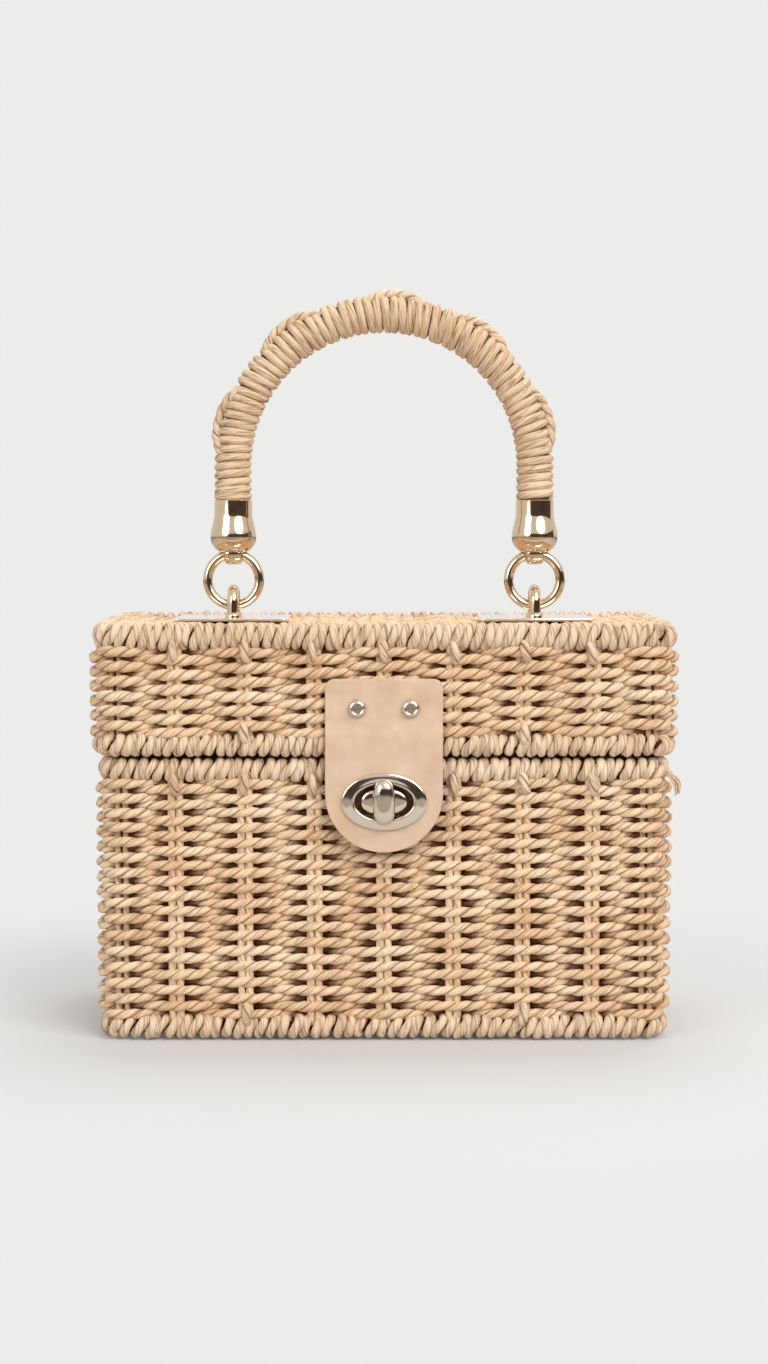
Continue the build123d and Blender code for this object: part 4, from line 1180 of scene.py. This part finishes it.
# %% Tab
HOLE_X, HOLE_Z = 11.25, 7.0
TAB_THICK, TAB_EDGE = 2.5, 1.1
RING_SHARES = np.array([0, 0.10, 0.25, 0.42, 0.60, 0.76, 0.88, 0.96, 1.0])
RINGS = len(RING_SHARES) - 1
rim = tab_outline()
facing = np.arctan2((rim[:, 1] - LOCK_HEIGHT) / HOLE_Z, rim[:, 0] / HOLE_X)
hole = np.column_stack([HOLE_X * np.cos(facing), LOCK_HEIGHT + HOLE_Z * np.sin(facing)])
tab = bmesh.new()
made = bmesh.ops.create_grid(tab, x_segments=TAB_POINTS, y_segments=RINGS, size=0.5)["verts"]
for vert in made:
    step = round((vert.co.x + 0.5) * TAB_POINTS) % TAB_POINTS
    share = RING_SHARES[round((vert.co.y + 0.5) * RINGS)]
    x, z = hole[step] * (1 - share) + rim[step] * share
    vert.co = Vector((x, tab_depth(z), z)) * MM
bmesh.ops.remove_doubles(tab, verts=tab.verts, dist=WELD)
bmesh.ops.recalc_face_normals(tab, faces=tab.faces)
if sum(f.normal.y for f in tab.faces) > 0:
    bmesh.ops.reverse_faces(tab, faces=tab.faces)
tab_mesh = bpy.data.meshes.new("clasp_tab_leather")
tab.to_mesh(tab_mesh)
tab.free()
tab_piece = finish_piece("clasp_tab_leather", tab_mesh, "lid", tan_leather)
thick = tab_piece.modifiers.new("thickness", "SOLIDIFY")
thick.thickness = TAB_THICK * MM
thick.offset = 1.0
edge = tab_piece.modifiers.new("cut_edge", "BEVEL")
edge.width = TAB_EDGE * MM
edge.segments = 4
edge.limit_method = "ANGLE"
edge.angle_limit = radians(50)
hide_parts("clasp_tab")


# %% [markdown]
# ## Hidden pieces
# The rod in the handle, the washers and the strips behind the wall are plain stock and hardly
# show. They could be modelled again, but they keep their CAD form with a plain material.

# %% Materials for the pieces that stay as they are
kept = {"handle_core": core_plastic, "staple_washers": plain_steel, "tab_washers": plain_steel,
        "lock_backplate": plain_steel, "clasp_backing": plain_steel}
for node, material in kept.items():
    mesh = frame["nodes"][node].data
    mesh.materials.clear()
    mesh.materials.append(material)
print("kept as they are:", ", ".join(kept))


# %% [markdown]
# ## Studio floor
# The photograph has a pale seamless ground. The floor takes the soft shadow. Far from the bag it
# fades to the backdrop's tone for the camera, so that no horizon shows. A sheet curved up behind
# the bag would hide it too, but only from the front.

# %% Floor
PALE = "#ECECEB"
FLOOR_HALF = 6.0
# Metres from the bag over which the floor fades, and how far it has faded close to it. The fade is
# an oval that is wider than it is deep.
FADE_FROM, FADE_TO, FADE_LEAST = 0.05, 0.30, 0.08
FADE_OVAL = (0.85, 1.0, 1.0)


def studio_sheet(name, material, stand):
    """A flat sheet. The matrix stretches it from two metres a side and puts it in place."""
    shape = bmesh.new()
    bmesh.ops.create_grid(shape, x_segments=1, y_segments=1, size=1.0, matrix=stand)
    mesh = bpy.data.meshes.new(name)
    shape.to_mesh(mesh)
    shape.free()
    mesh.materials.append(material)
    sheet = bpy.data.objects.new(name, mesh)
    bpy.context.scene.collection.objects.link(sheet)
    return sheet


floor_material, tree, shader = new_material("studio_floor_pale")
shader.inputs["Base Color"].default_value = linear("#D2D2D1")
shader.inputs["Roughness"].default_value = 0.9
shader.inputs["Specular IOR Level"].default_value = 0.1
place = add(tree, "ShaderNodeTexCoord").outputs["Object"]
oval = add(tree, "ShaderNodeVectorMath", {"operation": "MULTIPLY"}, {1: FADE_OVAL}, {0: place})
far = add(tree, "ShaderNodeVectorMath", {"operation": "LENGTH"}, links={0: oval.outputs["Vector"]})
fade = add(tree, "ShaderNodeMapRange", {"interpolation_type": "SMOOTHSTEP"},
           {"From Min": FADE_FROM, "From Max": FADE_TO, "To Min": FADE_LEAST},
           {"Value": far.outputs["Value"]})
glow = add(tree, "ShaderNodeEmission", values={"Color": linear(PALE), "Strength": 1.0})
seen = add(tree, "ShaderNodeLightPath").outputs["Is Camera Ray"]
amount = add(tree, "ShaderNodeMath", {"operation": "MULTIPLY"},
             links={0: fade.outputs["Result"], 1: seen})
mixed = add(tree, "ShaderNodeMixShader",
            links={0: amount.outputs[0], 1: shader.outputs["BSDF"], 2: glow.outputs["Emission"]})
tree.links.new(mixed.outputs["Shader"], tree.nodes["Material Output"].inputs["Surface"])
low_corner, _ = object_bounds()
floor = studio_sheet("studio_floor", floor_material, Matrix.Diagonal((FLOOR_HALF, FLOOR_HALF, 1, 1)))
floor.location.z = min(0.0, low_corner[2])
print(f"floor at {floor.location.z / MM:.2f} mm")


# %% [markdown]
# ## Lights
# One large soft light comes from the front right and above, a fainter one from the left, and a
# third from above and behind, which picks out the top edge. Discs are chosen because their
# reflections in the polished wire stay round.

# %% Lights
def soft_light(name, place, aim, size, power):
    light = bpy.data.lights.new(name, "AREA")
    light.shape = "DISK"
    light.size = size
    light.energy = power
    lamp = bpy.data.objects.new(name, light)
    lamp.location = place
    lamp.rotation_euler = (Vector(aim) - Vector(place)).to_track_quat("-Z", "Y").to_euler()
    bpy.context.scene.collection.objects.link(lamp)
    print(f"{name}: {power} W, {size} m across")


soft_light("key_light", (0.75, -1.1, 1.15), (0, 0, 0.12), 1.4, 22.5)
soft_light("fill_light", (-1.0, -1.2, 0.7), (0, 0, 0.12), 1.0, 8)
soft_light("top_light", (0.1, 0.45, 1.4), (0, 0, 0.1), 0.8, 8)


# %% [markdown]
# ## Dark cards
# Polished metal in an all-white room looks like white paint. Photographers stand dark cards
# beside the camera, so that the metal has something dark to show at its edges. The camera never
# sees them, and the one that lies low is left out of the diffuse light too.

# %% Dark cards
dark_card = plain_material("studio_dark_card", "#6E6259", 0.9)
grey_card = plain_material("studio_grey_card", "#9C968F", 0.9)
CARDS = (("front", (0.6, -2.6, 0.0), 0, pi / 2, (2.0, 0.8), dark_card),
         ("right", (2.6, -0.9, 0.0), pi / 2, pi / 2, (1.7, 0.8), dark_card),
         ("low", (0.0, -1.65, 0.004), 0, 0, (1.8, 1.2), grey_card))
for name, place, turn, tip, half, material in CARDS:
    turned = Matrix.Rotation(turn, 4, "Z") @ Matrix.Rotation(tip, 4, "X")
    stand = Matrix.Translation(place) @ turned @ Matrix.Diagonal((*half, 1, 1))
    card = studio_sheet(f"studio_card_{name}", material, stand)
    card.visible_camera = False
    card.visible_diffuse = name != "low"
print("cards:", ", ".join(name for name, *_ in CARDS))


# %% [markdown]
# ## World
# The world does two jobs. It lights the bag faintly from all sides, and it is the pale backdrop
# that the camera and the metal see. Light Path tells the two kinds of ray apart, so that the
# backdrop can be bright without more light on the bag.

# %% World
AMBIENT = 0.45
world = bpy.data.worlds.new("studio_world")
bpy.context.scene.world = world
world.use_nodes = True
tree = world.node_tree
tree.nodes.clear()
path = add(tree, "ShaderNodeLightPath")
seen = path.outputs["Is Camera Ray"]
for ray in ("Is Glossy Ray", "Is Transmission Ray"):
    seen = add(tree, "ShaderNodeMath", {"operation": "MAXIMUM"},
               links={0: seen, 1: path.outputs[ray]}).outputs[0]
ambient = add(tree, "ShaderNodeBackground", values={"Color": linear("#FFFFFF"), "Strength": AMBIENT})
backdrop = add(tree, "ShaderNodeBackground", values={"Color": linear(PALE), "Strength": 1.0})
both = add(tree, "ShaderNodeMixShader", links={0: seen, 1: ambient.outputs[0], 2: backdrop.outputs[0]})
add(tree, "ShaderNodeOutputWorld", links={"Surface": both.outputs[0]})
print("world:", world.name)


# %% [markdown]
# ## Camera
# A short telephoto just under a metre away, a little above the middle of the bag and tipped down.
# A wider lens closer by would frame the bag as well, but would spread its near edges.

# %% Camera and finish
TIP_DOWN = 4.06
lens = bpy.data.cameras.new("camera")
lens.lens = 59.99
lens.sensor_width = 36.0
camera = bpy.data.objects.new("camera", lens)
camera.location = (0.0, -0.90, 0.196)
camera.rotation_euler = (radians(90 - TIP_DOWN), 0, 0)
bpy.context.scene.collection.objects.link(camera)
bpy.context.scene.camera = camera
bpy.context.scene.view_settings.view_transform = "Standard"
